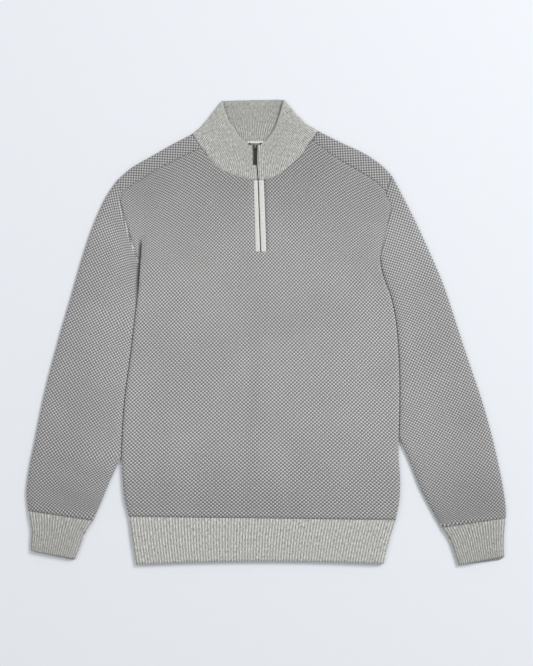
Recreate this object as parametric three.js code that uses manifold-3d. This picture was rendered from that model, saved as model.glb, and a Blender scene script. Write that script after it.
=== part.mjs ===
// Quarter zip sweater, laid flat on its back with its front up, in millimetres.
// +X runs to the right of the laid garment, +Y towards the collar and +Z up.
// Every piece of cloth is a wall, built from rows of wall sections: each section has
// a point on the wall's outer face and one on the face behind it.
import * as THREE from "three";
import { mergeVertices } from "three/addons/utils/BufferGeometryUtils.js";
import Module from "manifold-3d";

// Cloth
const KNIT = 2.8; // thickness of the bird's-eye knit
const RIB = 2.6; // thickness of the rib's plain wall
const RIB_RISE = 0.7; // height of a raised rib over that wall
const HEM_RIB_PITCH = 4.9;
const COLLAR_RIB_PITCH = 3.5;
const SEAM = 0.3; // gap between pieces at a seam
const SLIT = 0.9; // gap between the body's side and the sleeve that lies along it

// Laid heights: the top of the upper layer, and how far in from a folded edge the cloth rolls
const BODY_TOP = 8.4;
const SLEEVE_TOP = 7.8;
const RIB_TOP = 8.0;
const ROLL = 10;
const ROLL_ANGLES = [0, 30, 60, 90];

// Side edges of the body from the armholes down to the hem seam, a row for each section
const SIDE = [
  { leftX: -209, leftY: 115, rightX: 188.5, rightY: 123 },
  { leftX: -210, leftY: 94, rightX: 190.5, rightY: 104 },
  { leftX: -211.5, leftY: 70, rightX: 197, rightY: 82 },
  { leftX: -215, leftY: 40, rightX: 206, rightY: 58 },
  { leftX: -219, leftY: 5, rightX: 214, rightY: 20 },
  { leftX: -223, leftY: -30, rightX: 218, rightY: -22 },
  { leftX: -228, leftY: -68, rightX: 220, rightY: -64 },
  { leftX: -233, leftY: -105, rightX: 220.5, rightY: -105 },
  { leftX: -236, leftY: -140, rightX: 220, rightY: -140 },
  { leftX: -238, leftY: -175, rightX: 219, rightY: -175 },
  { leftX: -239, leftY: -207, rightX: 219, rightY: -207 },
  { leftX: -237.5, leftY: -240, rightX: 221.5, rightY: -242 },
  { leftX: -234.5, leftY: -274, rightX: 220.5, rightY: -277 },
  { leftX: -227, leftY: -305.5, rightX: 214.5, rightY: -311 },
];

// Rib band below the hem seam; sag is how far the middle lies above the two ends
const HEM = [
  { leftX: -227, leftY: -305.5, rightX: 214.5, rightY: -311, sag: 0 },
  { leftX: -221.5, leftY: -348, rightX: 203, rightY: -349, sag: 1.5 },
  { leftX: -215.5, leftY: -385, rightX: 194.5, rightY: -384, sag: 5 },
];

// Shoulders from the armhole to the neck: the fold at the top, which the back wraps over,
// and the seam on the front that it is sewn to
const SHOULDER_LEFT = [
  { foldX: -246, foldY: 250, seamX: -239.5, seamY: 228 },
  { foldX: -222, foldY: 271, seamX: -217, seamY: 245 },
  { foldX: -190, foldY: 289.5, seamX: -184, seamY: 265.5 },
  { foldX: -155, foldY: 309.5, seamX: -146, seamY: 285 },
  { foldX: -123, foldY: 326, seamX: -107.5, seamY: 303 },
];
const SHOULDER_RIGHT = [
  { foldX: 207.5, foldY: 257.5, seamX: 197.5, seamY: 232 },
  { foldX: 189, foldY: 276, seamX: 177, seamY: 250 },
  { foldX: 160, foldY: 295.5, seamX: 147, seamY: 268.5 },
  { foldX: 125, foldY: 311.5, seamX: 112, seamY: 289 },
  { foldX: 85.5, foldY: 331.5, seamX: 75.5, seamY: 316 },
];

// Armhole seams, from the shoulder fold down to the underarm
const ARMHOLE_LEFT = [
  { x: -246, y: 250 },
  { x: -239.5, y: 228 },
  { x: -240, y: 214 },
  { x: -234, y: 191 },
  { x: -228, y: 172 },
  { x: -221, y: 149 },
  { x: -213, y: 125 },
  { x: -209, y: 115 },
];
const ARMHOLE_RIGHT = [
  { x: 207.5, y: 257.5 },
  { x: 197.5, y: 232 },
  { x: 206, y: 208 },
  { x: 204, y: 195 },
  { x: 201, y: 180 },
  { x: 197, y: 161 },
  { x: 191, y: 135 },
  { x: 188.5, y: 123 },
];

// Neck seam on the front, from each shoulder seam to the slit for the zip
const NECK_LEFT = [
  { x: -97.5, y: 291 },
  { x: -81, y: 271.5 },
  { x: -58, y: 260 },
  { x: -36.5, y: 253.5 },
  { x: -21.5, y: 250 },
];
const NECK_RIGHT = [
  { x: 70.5, y: 311 },
  { x: 60, y: 294.5 },
  { x: 42.5, y: 276.5 },
  { x: 18, y: 258 },
  { x: -3.5, y: 250 },
];
// Neck seam of the back, under the collar, from left to right
const NECK_BACK = [
  { x: -113, y: 323 },
  { x: -90, y: 317 },
  { x: -55, y: 312 },
  { x: -18.5, y: 311 },
  { x: 18, y: 313.5 },
  { x: 50, y: 320 },
  { x: 76, y: 328 },
];

// Slit in the front for the zip: where its two edges point to at the underarms' height, and
// the height of its foot, which the bands and the coil reach down to
const SLIT_LOW = { leftX: -17.9, rightX: 1.2, y: 119 };
const SLIT_FOOT = 131.2;
// The line that the zip closes on, from the top of the collar to the foot of the slit
const ZIP_LINE = [
  { x: -18, y: 310 },
  { x: -14.2, y: 275 },
  { x: -13.4, y: 250 },
  { x: -11.3, y: 190 },
  { x: -9.2, y: 130.2 },
];

// Folds of the front: soft troughs (below 0) and ridges from one end to the other
const FRONT_FOLDS = [
  { x0: -25, y0: 19, x1: -37, y1: -300, rise: -1.8, width: 15 },
  { x0: -174, y0: -138, x1: -182, y1: -294, rise: -1.4, width: 12 },
  { x0: 34, y0: -195, x1: 41, y1: -294, rise: -1.0, width: 10 },
  { x0: 72, y0: -125, x1: 76, y1: -240, rise: 0.9, width: 22 },
  { x0: -68, y0: -140, x1: -74, y1: -250, rise: 0.8, width: 24 },
  { x0: -205, y0: 160, x1: -209, y1: 112, rise: -1.8, width: 9 },
  { x0: 192, y0: 178, x1: 189, y1: 122, rise: -1.2, width: 9 },
];

// Sleeves, a row for each section from the armhole to the cuff seam. Where a row has no
// inner point, its inner end lies along the body's side, at the same row of SIDE.
const SLEEVE_LEFT = [
  { outerX: -246, outerY: 250 },
  { outerX: -266, outerY: 219 },
  { outerX: -287, outerY: 171 },
  { outerX: -305.5, outerY: 115 },
  { outerX: -322, outerY: 57 },
  { outerX: -336, outerY: 10 },
  { outerX: -348, outerY: -33 },
  { outerX: -359, outerY: -74 },
  { outerX: -368, outerY: -112 },
  { outerX: -376, outerY: -150 },
  { outerX: -383, outerY: -186 },
  { outerX: -391, outerY: -225, innerX: -257.5, innerY: -245 },
  { outerX: -396, outerY: -265, innerX: -272.5, innerY: -281 },
  { outerX: -393.5, outerY: -296, innerX: -286, innerY: -312.5 },
];
const SLEEVE_RIGHT = [
  { outerX: 207.5, outerY: 257.5 },
  { outerX: 229, outerY: 217 },
  { outerX: 250, outerY: 175 },
  { outerX: 271, outerY: 129 },
  { outerX: 293, outerY: 77 },
  { outerX: 313, outerY: 17 },
  { outerX: 327, outerY: -26 },
  { outerX: 341, outerY: -68 },
  { outerX: 354, outerY: -106 },
  { outerX: 367, outerY: -150 },
  { outerX: 379, outerY: -197, innerX: 238, innerY: -216 },
  { outerX: 389, outerY: -245, innerX: 255.5, innerY: -260 },
  { outerX: 395.5, outerY: -286, innerX: 277, innerY: -301 },
  { outerX: 396, outerY: -308, innerX: 290, innerY: -324 },
];

const SLEEVE_BOW = [1, 0.55, 0.2]; // how much of the armhole's curve the first sections keep

// Cuffs, from the cuff seam to the opening; below is how far the under layer shows past
// the upper one at the outer and inner ends of the opening
const CUFF_LEFT = {
  rows: [
    { outerX: -393.5, outerY: -296, innerX: -286, innerY: -312.5 },
    { outerX: -388, outerY: -328, innerX: -300.5, innerY: -336 },
    { outerX: -389, outerY: -350, innerX: -308, innerY: -357 },
    { outerX: -388.5, outerY: -362, innerX: -315.5, innerY: -376 },
  ],
  below: { outer: 1.5, inner: 2.5 },
};
const CUFF_RIGHT = {
  rows: [
    { outerX: 396, outerY: -308, innerX: 290, innerY: -324 },
    { outerX: 393.5, outerY: -334, innerX: 303, innerY: -344 },
    { outerX: 393, outerY: -356, innerX: 311.5, innerY: -367 },
    { outerX: 393.5, outerY: -371, innerX: 317.5, innerY: -386 },
  ],
  below: { outer: 5.5, inner: 0.5 },
};

// Collar, from one zip edge round the neck to the other: base is on the neck seam and top
// on the free edge. Layer 1 lies on top, -1 underneath, and 0 is a side fold.
const COLLAR = [
  { baseX: -14.2, baseY: 250, topX: -19.2, topY: 309, layer: 1 },
  { baseX: -21.5, baseY: 250, topX: -26, topY: 310, layer: 1 },
  { baseX: -36.5, baseY: 253.5, topX: -33.5, topY: 314, layer: 1 },
  { baseX: -58, baseY: 260, topX: -43, topY: 321, layer: 1 },
  { baseX: -81, baseY: 271.5, topX: -53, topY: 336, layer: 1 },
  { baseX: -97.5, baseY: 291, topX: -62, topY: 348, layer: 1 },
  { baseX: -107.5, baseY: 303, topX: -66.5, topY: 361, layer: 1 },
  { baseX: -123, baseY: 326, topX: -73, topY: 381.5, layer: 0 },
  { baseX: -90, baseY: 317, topX: -56, topY: 382, layer: -1 },
  { baseX: -55, baseY: 312, topX: -40, topY: 382.5, layer: -1 },
  { baseX: -18.5, baseY: 311, topX: -22, topY: 383, layer: -1 },
  { baseX: 18, baseY: 313.5, topX: -3, topY: 383.2, layer: -1 },
  { baseX: 50, baseY: 320, topX: 13, topY: 383.5, layer: -1 },
  { baseX: 85.5, baseY: 331.5, topX: 29.5, topY: 383.5, layer: 0 },
  { baseX: 75.5, baseY: 316, topX: 25.5, topY: 371, layer: 1 },
  { baseX: 70.5, baseY: 311, topX: 23.5, topY: 363, layer: 1 },
  { baseX: 60, baseY: 294.5, topX: 20, topY: 352, layer: 1 },
  { baseX: 42.5, baseY: 276.5, topX: 14.5, topY: 337, layer: 1 },
  { baseX: 18, baseY: 258, topX: 5.5, topY: 323, layer: 1 },
  { baseX: -3.5, baseY: 250, topX: -6, topY: 311.5, layer: 1 },
  { baseX: -12.6, baseY: 250, topX: -16.8, topY: 309, layer: 1 },
];
// Heights up the collar: share of the way from base to top, and how far its side folds
// curve in from a straight line there
const COLLAR_HEIGHTS = [
  { share: 0, hollowLeft: 0, hollowRight: 0 },
  { share: 0.3, hollowLeft: 3.5, hollowRight: 4.6 },
  { share: 0.6, hollowLeft: 2.4, hollowRight: 3.9 },
  { share: 1, hollowLeft: 0, hollowRight: 0 },
];
const COLLAR_GAP = { flat: 0.4, sideFold: 1.5 }; // between the neck seam and the collar's foot

// Zip
const COIL = { width: 5.5, low: 4.3, high: 5.1, topY: 303, footY: 132.2 };
const ZIP_GAP = 1.5; // dark line between the two bands
const BAND = { low: 5.4, high: 8.2, topY: 249.7 };
const SLIDER = { x: -18, y: 306.5, width: 12.5, length: 9, low: 8.3, thick: 1.2 };
const SHIELD = { tip: 2.4, waist: 1.08, sideY: 1.26, dip: 0.9 }; // half widths and heights of its curves
const BRIDGE = { width: 2.2, length: 8, post: 1.5, window: 2.2, bar: 1.2, chamfer: 0.8 };
const PULL = { width: 6.6, thick: 1.6, endY: 275, low: 8.35, window: 5.1, gap: 3.4, pin: 0.65, lap: 1.4, round: 1.2 };
const COIL_END = { length: 4.2, width: 2.4, thick: 1.4, turn: 24, reach: 8.7, y: 310, low: 9 };
const LABEL = { width: 33, length: 26, low: 3.6, thick: 0.4, x: -15, topY: 314.5 };

// The whole is moved by this, so that the origin is under the middle of its box
const CENTRE = { x: 0, y: -1.25 };

// Colours, roughness and metalness from the photograph
const FINISH = {
  knit: { color: 0x9c9c9a, roughness: 0.95, metalness: 0 },
  rib: { color: 0xb2b2ac, roughness: 0.95, metalness: 0 },
  band: { color: 0xcacac4, roughness: 0.9, metalness: 0 },
  coil: { color: 0x2a2a2c, roughness: 0.5, metalness: 0 },
  slider: { color: 0x3c3c40, roughness: 0.35, metalness: 0.9 },
  pull: { color: 0x1a1a1a, roughness: 0.45, metalness: 0 },
  label: { color: 0xf2f1f4, roughness: 0.8, metalness: 0 },
};

const mix = (a, b, share) => a + (b - a) * share;
const blend = (a, b, share) => ({ x: mix(a.x, b.x, share), y: mix(a.y, b.y, share) });
const distance = (a, b) => Math.hypot(a.x - b.x, a.y - b.y);

// Height of a rolled edge: 0 on the edge itself, 1 from reach inwards
function roll(inwards, reach) {
  const left = 1 - Math.min(Math.max(inwards / reach, 0), 1);
  return Math.sqrt(1 - left * left);
}

// Distances in from a folded edge at which the roll has its sections
const ROLL_STEPS = ROLL_ANGLES.map((angle) => ROLL * (1 - Math.cos(THREE.MathUtils.degToRad(angle))));

// The face behind lies a wall's thickness in from the edge, and its roll is that much shorter
const innerStep = (step, cloth) => (step < ROLL ? cloth + (step * (ROLL - cloth)) / ROLL : step);

// The point at a share of the length of a line of points
function along(line, share) {
  const lengths = line.slice(1).map((point, i) => distance(line[i], point));
  let rest = share * lengths.reduce((sum, length) => sum + length, 0);
  for (let i = 0; i < lengths.length; i += 1) {
    if (rest <= lengths[i] || i === lengths.length - 1) {
      return blend(line[i], line[i + 1], Math.min(rest / lengths[i], 1));
    }
    rest -= lengths[i];
  }
  return line[line.length - 1];
}

const lengthOf = (line) => line.slice(1).reduce((sum, point, i) => sum + distance(line[i], point), 0);

// A zip line's x at a height y
function zipX(y) {
  const i = Math.max(1, ZIP_LINE.findIndex((point) => point.y <= y));
  const [high, low] = [ZIP_LINE[i - 1], ZIP_LINE[i]];
  return mix(low.x, high.x, (y - low.y) / (high.y - low.y));
}

// Walls of cloth

// The points of one edge of a cell, from one section to the next. Where the edge has ribs,
// every second point is a rib's crest, raised by rise.
function edgePoints(from, to, ribs, rise) {
  const count = ribs ? ribs * 2 : 1;
  return Array.from({ length: count + 1 }, (_, k) => {
    const point = new THREE.Vector3().lerpVectors(from, to, k / count);
    if (ribs && k % 2 === 1) point.z += rise;
    return point;
  });
}

// One closed body from rows of sections { out, behind }. has says which cells are cloth,
// ribs(i) gives the ribs { out, behind, rise } between sections i and i + 1, and a closed
// wall's last section joins its first.
function wall(rows, { closed = false, has = () => true, ribs = () => ({}) } = {}) {
  const points = [];
  const triangle = (a, b, c) => points.push(a, b, c);
  const quad = (a, b, c, d) => {
    triangle(a, b, c);
    triangle(a, c, d);
  };
  const bridge = (upper, lower) => {
    let [i, j] = [0, 0];
    while (i < upper.length - 1 || j < lower.length - 1) {
      const nextUpper = (i + 1) / (upper.length - 1);
      const nextLower = (j + 1) / (lower.length - 1);
      if (i < upper.length - 1 && nextUpper <= nextLower) {
        triangle(upper[i + 1], upper[i], lower[j]);
        i += 1;
      } else {
        triangle(lower[j], lower[j + 1], upper[i]);
        j += 1;
      }
    }
  };
  const across = rows[0].length;
  const cells = closed ? across : across - 1;
  const cellThere = (i, j) => {
    if (j < 0 || j >= rows.length - 1) return false;
    if (!closed && (i < 0 || i >= cells)) return false;
    return has((i + cells) % cells, j);
  };
  for (let j = 0; j < rows.length - 1; j += 1) {
    for (let i = 0; i < cells; i += 1) {
      if (!cellThere(i, j)) continue;
      const next = (i + 1) % across;
      const { out = 0, behind = 0, rise = RIB_RISE } = ribs(i);
      const face = (row, side, count) => edgePoints(rows[row][i][side], rows[row][next][side], count, rise);
      const outer = [face(j, "out", out), face(j + 1, "out", out)];
      const inner = [face(j, "behind", behind), face(j + 1, "behind", behind)];
      for (let k = 0; k < outer[0].length - 1; k += 1) {
        quad(outer[0][k], outer[0][k + 1], outer[1][k + 1], outer[1][k]);
      }
      for (let k = 0; k < inner[0].length - 1; k += 1) {
        quad(inner[0][k], inner[1][k], inner[1][k + 1], inner[0][k + 1]);
      }
      if (!cellThere(i, j - 1)) bridge(outer[0], inner[0]);
      if (!cellThere(i, j + 1)) bridge([...outer[1]].reverse(), [...inner[1]].reverse());
      if (!cellThere(i - 1, j)) quad(outer[1][0], inner[1][0], inner[0][0], outer[0][0]);
      if (!cellThere(i + 1, j)) {
        const [low, high] = [outer[0].at(-1), outer[1].at(-1)];
        quad(low, inner[0].at(-1), inner[1].at(-1), high);
      }
    }
  }
  return facingOut(points);
}

// A geometry from the corners of its triangles, turned so that its faces point out
function facingOut(points) {
  let volume = 0;
  for (let i = 0; i < points.length; i += 3) {
    volume += points[i].dot(new THREE.Vector3().crossVectors(points[i + 1], points[i + 2]));
  }
  if (volume < 0) {
    for (let i = 0; i < points.length; i += 3) {
      [points[i + 1], points[i + 2]] = [points[i + 2], points[i + 1]];
    }
  }
  const geometry = new THREE.BufferGeometry().setFromPoints(points);
  geometry.computeVertexNormals();
  return geometry;
}

const section = (outer, outerZ, inner, innerZ) => ({
  out: new THREE.Vector3(outer.x, outer.y, outerZ),
  behind: new THREE.Vector3(inner.x, inner.y, innerZ),
});

// Heights of a flat piece of two layers: side 1 is the upper layer and -1 the lower one,
// top the height of the two, inwards the distance in from the folded edge
function outerHeight(side, top, inwards) {
  const middle = top / 2;
  return middle + side * middle * roll(inwards, ROLL);
}
function innerHeight(side, top, cloth, inwards) {
  const middle = top / 2;
  return middle + side * (middle - cloth) * roll(inwards - cloth, ROLL - cloth);
}

// Sections down the armhole, as distances from the shoulder fold. The first roll over the
// fold, one lies on the shoulder seam, and the last roll down to the underarm.
function armholeSteps(line, shoulder) {
  const length = lengthOf(line);
  const seam = distance(line[0], { x: shoulder[0].seamX, y: shoulder[0].seamY });
  const middle = [1, 2, 3, 4].map((k) => mix(seam, length - ROLL, k / 5));
  const end = [...ROLL_STEPS].reverse().map((step) => length - step);
  return { length, seam, steps: [...ROLL_STEPS, seam, ...middle, ...end] };
}
const HOLE = {
  left: armholeSteps(ARMHOLE_LEFT, SHOULDER_LEFT),
  right: armholeSteps(ARMHOLE_RIGHT, SHOULDER_RIGHT),
};
const STEPS = HOLE.left.steps.length;
const SEAM_STEP = ROLL_STEPS.length; // the armhole step on the shoulder seam
const holePoint = (side, k) => {
  const line = side === "left" ? ARMHOLE_LEFT : ARMHOLE_RIGHT;
  const point = along(line, HOLE[side].steps[k] / HOLE[side].length);
  return { x: point.x + (side === "left" ? SEAM / 2 : -SEAM / 2), y: point.y };
};
// Share of the way from the underarm up to a piece's top edge at an armhole step
const riseShare = (side, k, top) => {
  const { length, steps } = HOLE[side];
  return (length - steps[k]) / (length - steps[top]);
};

// Body

function foldHeight(x, y) {
  let height = 0;
  for (const { x0, y0, x1, y1, rise, width } of FRONT_FOLDS) {
    const run = { x: x1 - x0, y: y1 - y0 };
    const size = run.x * run.x + run.y * run.y;
    const share = Math.min(Math.max(((x - x0) * run.x + (y - y0) * run.y) / size, 0), 1);
    const away = Math.hypot(x - x0 - share * run.x, y - y0 - share * run.y);
    const fade = Math.sin(Math.PI * (0.15 + 0.7 * share));
    height += rise * fade * Math.exp(-((away / width) ** 2));
  }
  return height;
}

// The rows of a body panel. topLine has a point for each section across, from the left
// armhole to the right one, and lowX gives where that section is at the underarm, as a
// share from roll to roll. topStep is the armhole step that the top line is on.
function panelPoints(topLine, lowShare, topStep) {
  const count = topLine.length;
  const rolls = ROLL_STEPS.length;
  const rows = [];
  for (const row of [...SIDE].reverse()) {
    rows.push(topLine.map((_, i) => {
      const left = { x: row.leftX + SEAM / 2, y: row.leftY };
      const right = { x: row.rightX - SEAM / 2, y: row.rightY };
      const width = right.x - left.x;
      if (i < rolls) return { ...blend(left, right, ROLL_STEPS[i] / width), inwards: ROLL_STEPS[i], side: 1 };
      if (i >= count - rolls) {
        const step = ROLL_STEPS[count - 1 - i];
        return { ...blend(right, left, step / width), inwards: step, side: -1 };
      }
      const share = mix(ROLL / width, 1 - ROLL / width, lowShare(i));
      return { ...blend(left, right, share), inwards: ROLL, side: 0 };
    }));
  }
  const underarm = rows.at(-1);
  const ends = [underarm[0], underarm[count - 1]];
  for (let k = STEPS - 2; k >= topStep; k -= 1) {
    const left = holePoint("left", k);
    const right = holePoint("right", k);
    rows.push(topLine.map((top, i) => {
      const near = i < count / 2 ? "left" : "right";
      const share = riseShare(near, k, topStep);
      let point = blend(underarm[i], top, share);
      if (i < rolls) point = inFrom(left, topLine[0], top, ROLL_STEPS[i], share, 1);
      if (i >= count - rolls) {
        point = inFrom(right, topLine[count - 1], top, ROLL_STEPS[count - 1 - i], share, -1);
      }
      const inwards = Math.min(distance(point, ends[0]), distance(point, ends[1]));
      return { ...point, inwards, side: 0 };
    }));
  }
  return rows;
}

// A section a step in from the armhole: level at the underarm, and along the panel's top
// edge where it meets that
function inFrom(edge, corner, top, step, share, way) {
  if (step === 0) return edge;
  const run = { x: top.x - corner.x, y: top.y - corner.y };
  const size = Math.hypot(run.x, run.y);
  const lean = { x: mix(way, run.x / size, share), y: mix(0, run.y / size, share) };
  const scale = step / Math.hypot(lean.x, lean.y);
  return { x: edge.x + lean.x * scale, y: edge.y + lean.y * scale };
}

// Points on a shoulder's line by its armhole end: the corner, then a point at each roll step
const stepsFrom = (line) => ROLL_STEPS.map((step) => along(line.slice(0, 2), step / distance(line[0], line[1])));

function frontPanel() {
  const seam = (rows) => rows.map((row) => ({ x: row.seamX, y: row.seamY }));
  const [left, right] = [seam(SHOULDER_LEFT), seam(SHOULDER_RIGHT)];
  const line = [
    ...stepsFrom(left),
    ...left.slice(1),
    ...NECK_LEFT,
    ...[...right.slice(1), ...NECK_RIGHT].reverse(),
    ...stepsFrom(right).reverse(),
  ];
  const top = line.map((point) => ({ x: point.x, y: point.y - SEAM / 2 }));
  top[0].x += SEAM / 2;
  top[top.length - 1].x -= SEAM / 2;
  const rolls = ROLL_STEPS.length;
  const slitLeft = rolls + left.length - 1 + NECK_LEFT.length - 1;
  const slitRight = slitLeft + 1;
  const fit = (x, fromLow, fromHigh, low, high) => mix(low, high, (x - fromLow) / (fromHigh - fromLow));
  const [first, last] = [top[rolls - 1].x, top[top.length - rolls].x];
  const low = SIDE[0];
  const share = (x) => (x - low.leftX - ROLL) / (low.rightX - low.leftX - 2 * ROLL);
  const lowShare = (i) => {
    if (i <= slitLeft) return fit(top[i].x, first, top[slitLeft].x, 0, share(SLIT_LOW.leftX));
    return fit(top[i].x, top[slitRight].x, last, share(SLIT_LOW.rightX), 1);
  };
  const footRow = SIDE.length + ROLL_STEPS.length - 2;
  const rows = panelPoints(top, lowShare, SEAM_STEP).map((row) => row.map((point) => {
    const lift = foldHeight(point.x, point.y);
    const outerZ = outerHeight(1, BODY_TOP, point.inwards);
    const behind = point.side === 0 ? point.inwards : innerStep(point.inwards, KNIT);
    const innerZ = innerHeight(1, BODY_TOP, KNIT, behind);
    const flat = Math.min(point.inwards / ROLL, 1);
    const inset = point.side * (behind - point.inwards);
    const inner = { x: point.x + inset, y: point.y };
    return section(point, outerZ + lift * flat + SEAM / 2, inner, innerZ + lift * flat + SEAM / 2);
  }));
  return wall(rows, { has: (i, j) => i !== slitLeft || j < footRow });
}

// The back: flat underneath, rolled up at the sides and over the shoulders, where it ends
// on the shoulder seam of the upper layer
function backPanel() {
  const fold = (rows) => rows.map((row) => ({ x: row.foldX, y: row.foldY }));
  const seam = (rows) => rows.map((row) => ({ x: row.seamX, y: row.seamY }));
  const acrossFrom = (left, middle, right) => [
    ...stepsFrom(left),
    ...left.slice(1),
    ...middle,
    ...right.slice(1).reverse(),
    ...stepsFrom(right).reverse(),
  ];
  const neck = NECK_BACK.map((point) => ({ x: point.x, y: point.y - SEAM }));
  const top = acrossFrom(fold(SHOULDER_LEFT), neck, fold(SHOULDER_RIGHT));
  const ends = acrossFrom(seam(SHOULDER_LEFT), neck, seam(SHOULDER_RIGHT));
  const count = top.length;
  top[0] = holePoint("left", 0);
  top[count - 1] = holePoint("right", 0);
  ends[0] = holePoint("left", SEAM_STEP);
  ends[count - 1] = holePoint("right", SEAM_STEP);
  const shoulder = ROLL_STEPS.length + SHOULDER_LEFT.length - 1; // sections from armhole to neck
  const isShoulder = (i) => i < shoulder || i >= count - shoulder;
  const corners = [top[shoulder - 1], top[count - shoulder]];
  const [first, last] = [top[ROLL_STEPS.length - 1].x, top[count - ROLL_STEPS.length].x];
  const rows = panelPoints(top, (i) => (top[i].x - first) / (last - first), 0);
  // How far the wrap reaches; at the neck there is none, and a length of 1 stands in for it
  const reach = top.map((point, i) => (isShoulder(i) ? distance(point, ends[i]) : 1));
  const down = top.map((point, i) => ({ x: (ends[i].x - point.x) / reach[i], y: (ends[i].y - point.y) / reach[i] }));
  const turned = (point, i, side, fromFold) => {
    const inwards = Math.min(point.inwards, fromFold);
    const inset = point.side * (innerStep(point.inwards, KNIT) - point.inwards);
    const drop = isShoulder(i) ? innerStep(fromFold, KNIT) - fromFold : 0;
    const inner = { x: point.x + inset + down[i].x * drop, y: point.y + down[i].y * drop };
    const innerZ = innerHeight(side, BODY_TOP, KNIT, inwards + Math.abs(inset) + drop);
    return section(point, outerHeight(side, BODY_TOP, inwards), inner, innerZ);
  };
  const lower = rows.map((row, j) => row.map((point, i) => {
    const above = j >= SIDE.length;
    const edge = isShoulder(i) ? [top[i]] : corners;
    const fromFold = above ? Math.min(...edge.map((corner) => distance(point, corner))) : ROLL;
    const turn = turned(point, i, -1, fromFold);
    // The side seam is half a seam's gap below the middle
    if (j < SIDE.length && point.inwards < ROLL) {
      turn.out.z -= SEAM / 2 * (1 - roll(point.inwards, ROLL));
      turn.behind.z -= SEAM / 2 * (1 - roll(point.inwards, ROLL));
    }
    return turn;
  }));
  const wrapSteps = [...ROLL_STEPS.slice(1), null];
  const upper = wrapSteps.map((step) => top.map((point, i) => {
    const fromFold = step === null ? reach[i] : (step * reach[i]) / HOLE.left.seam;
    const place = { ...blend(point, ends[i], fromFold / reach[i]), inwards: ROLL, side: 0 };
    if (step === null) place.y += SEAM / 2;
    return turned(place, i, 1, fromFold);
  }));
  const foldRow = lower.length - 1;
  return wall([...lower, ...upper], {
    has: (i, j) => j < foldRow || i < shoulder - 1 || i >= count - shoulder,
  });
}

// Sleeves and cuffs: flattened tubes, each ring going out over the top and back underneath

// Distances across a ring of this width: the armhole's steps, fitted between the rolls
function spread(side, width) {
  const { length, steps } = HOLE[side];
  return steps.map((step) => {
    if (step <= ROLL) return step;
    if (step >= length - ROLL) return width - (length - step);
    return mix(ROLL, width - ROLL, (step - ROLL) / (length - 2 * ROLL));
  });
}

// One ring: at(d) is the point a distance d across it, and shift moves the lower layer
function ring(at, width, steps, top, cloth, shift = () => ({ x: 0, y: 0 })) {
  const place = (step, side) => {
    const inwards = Math.min(step, width - step);
    const inset = innerStep(inwards, cloth);
    const inner = at(step < width / 2 ? inset : width - inset);
    const outer = at(step);
    const move = side < 0 ? shift(step / width, roll(inwards, ROLL)) : { x: 0, y: 0 };
    const moved = (point) => ({ x: point.x + move.x, y: point.y + move.y });
    return section(
      moved(outer),
      outerHeight(side, top, inwards),
      moved(inner),
      innerHeight(side, top, cloth, inset),
    );
  };
  const over = steps.map((step) => place(step, 1));
  const under = steps.slice(1, -1).reverse().map((step) => place(step, -1));
  return [...over, ...under];
}

function sleeve(side, rows) {
  const line = side === "left" ? ARMHOLE_LEFT : ARMHOLE_RIGHT;
  const away = side === "left" ? -1 : 1;
  const rings = rows.map((row, k) => {
    const gap = away * (k === 0 ? SEAM / 2 : SLIT - SEAM / 2);
    const end = k === rows.length - 1 ? SEAM / 2 : 0;
    const outer = { x: row.outerX + (k === 0 ? gap : 0), y: row.outerY + end };
    const beside = { x: SIDE[k][`${side}X`] + gap, y: SIDE[k][`${side}Y`] };
    const inner = row.innerX === undefined ? beside : { x: row.innerX, y: row.innerY + end };
    const width = k === 0 ? HOLE[side].length : distance(outer, inner);
    const at = (step) => {
      const share = step / width;
      const point = blend(outer, inner, share);
      const curve = along(line, share);
      const chord = blend(line[0], line[line.length - 1], share);
        const bend = SLEEVE_BOW[k] ?? 0;
      return { x: point.x + bend * (curve.x - chord.x), y: point.y + bend * (curve.y - chord.y) };
    };
    return ring(at, width, k === 0 ? HOLE[side].steps : spread(side, width), SLEEVE_TOP, KNIT);
  });
  return wall(rings, { closed: true });
}

function cuff({ rows, below }) {
  const ends = rows.slice(-2);
  const rings = rows.map((row, k) => {
    const start = k === 0 ? -SEAM / 2 : 0;
    const outer = { x: row.outerX, y: row.outerY + start };
    const inner = { x: row.innerX, y: row.innerY + start };
    const width = distance(outer, inner);
    const steps = [...ROLL_STEPS, ...[...ROLL_STEPS].reverse().map((step) => width - step)];
    const shift = (share, weight) => {
      if (k < rows.length - 1) return { x: 0, y: 0 };
      const run = { x: ends[1].outerX - ends[0].outerX, y: ends[1].outerY - ends[0].outerY };
      const size = mix(below.outer, below.inner, share) * weight / Math.hypot(run.x, run.y);
      return { x: run.x * size, y: run.y * size };
    };
    return ring((step) => blend(outer, inner, step / width), width, steps, RIB_TOP, RIB, shift);
  });
  const middle = ROLL_STEPS.length - 1;
  const first = rows[0];
  const width = Math.hypot(first.outerX - first.innerX, first.outerY - first.innerY) - 2 * ROLL;
  const count = Math.round(width / HEM_RIB_PITCH);
  const ribs = (i) => {
    if (i === middle) return { out: count };
    return Math.abs(i - middle) === 1 ? { out: 1 } : {};
  };
  return wall(rings, { closed: true, ribs });
}

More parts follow.
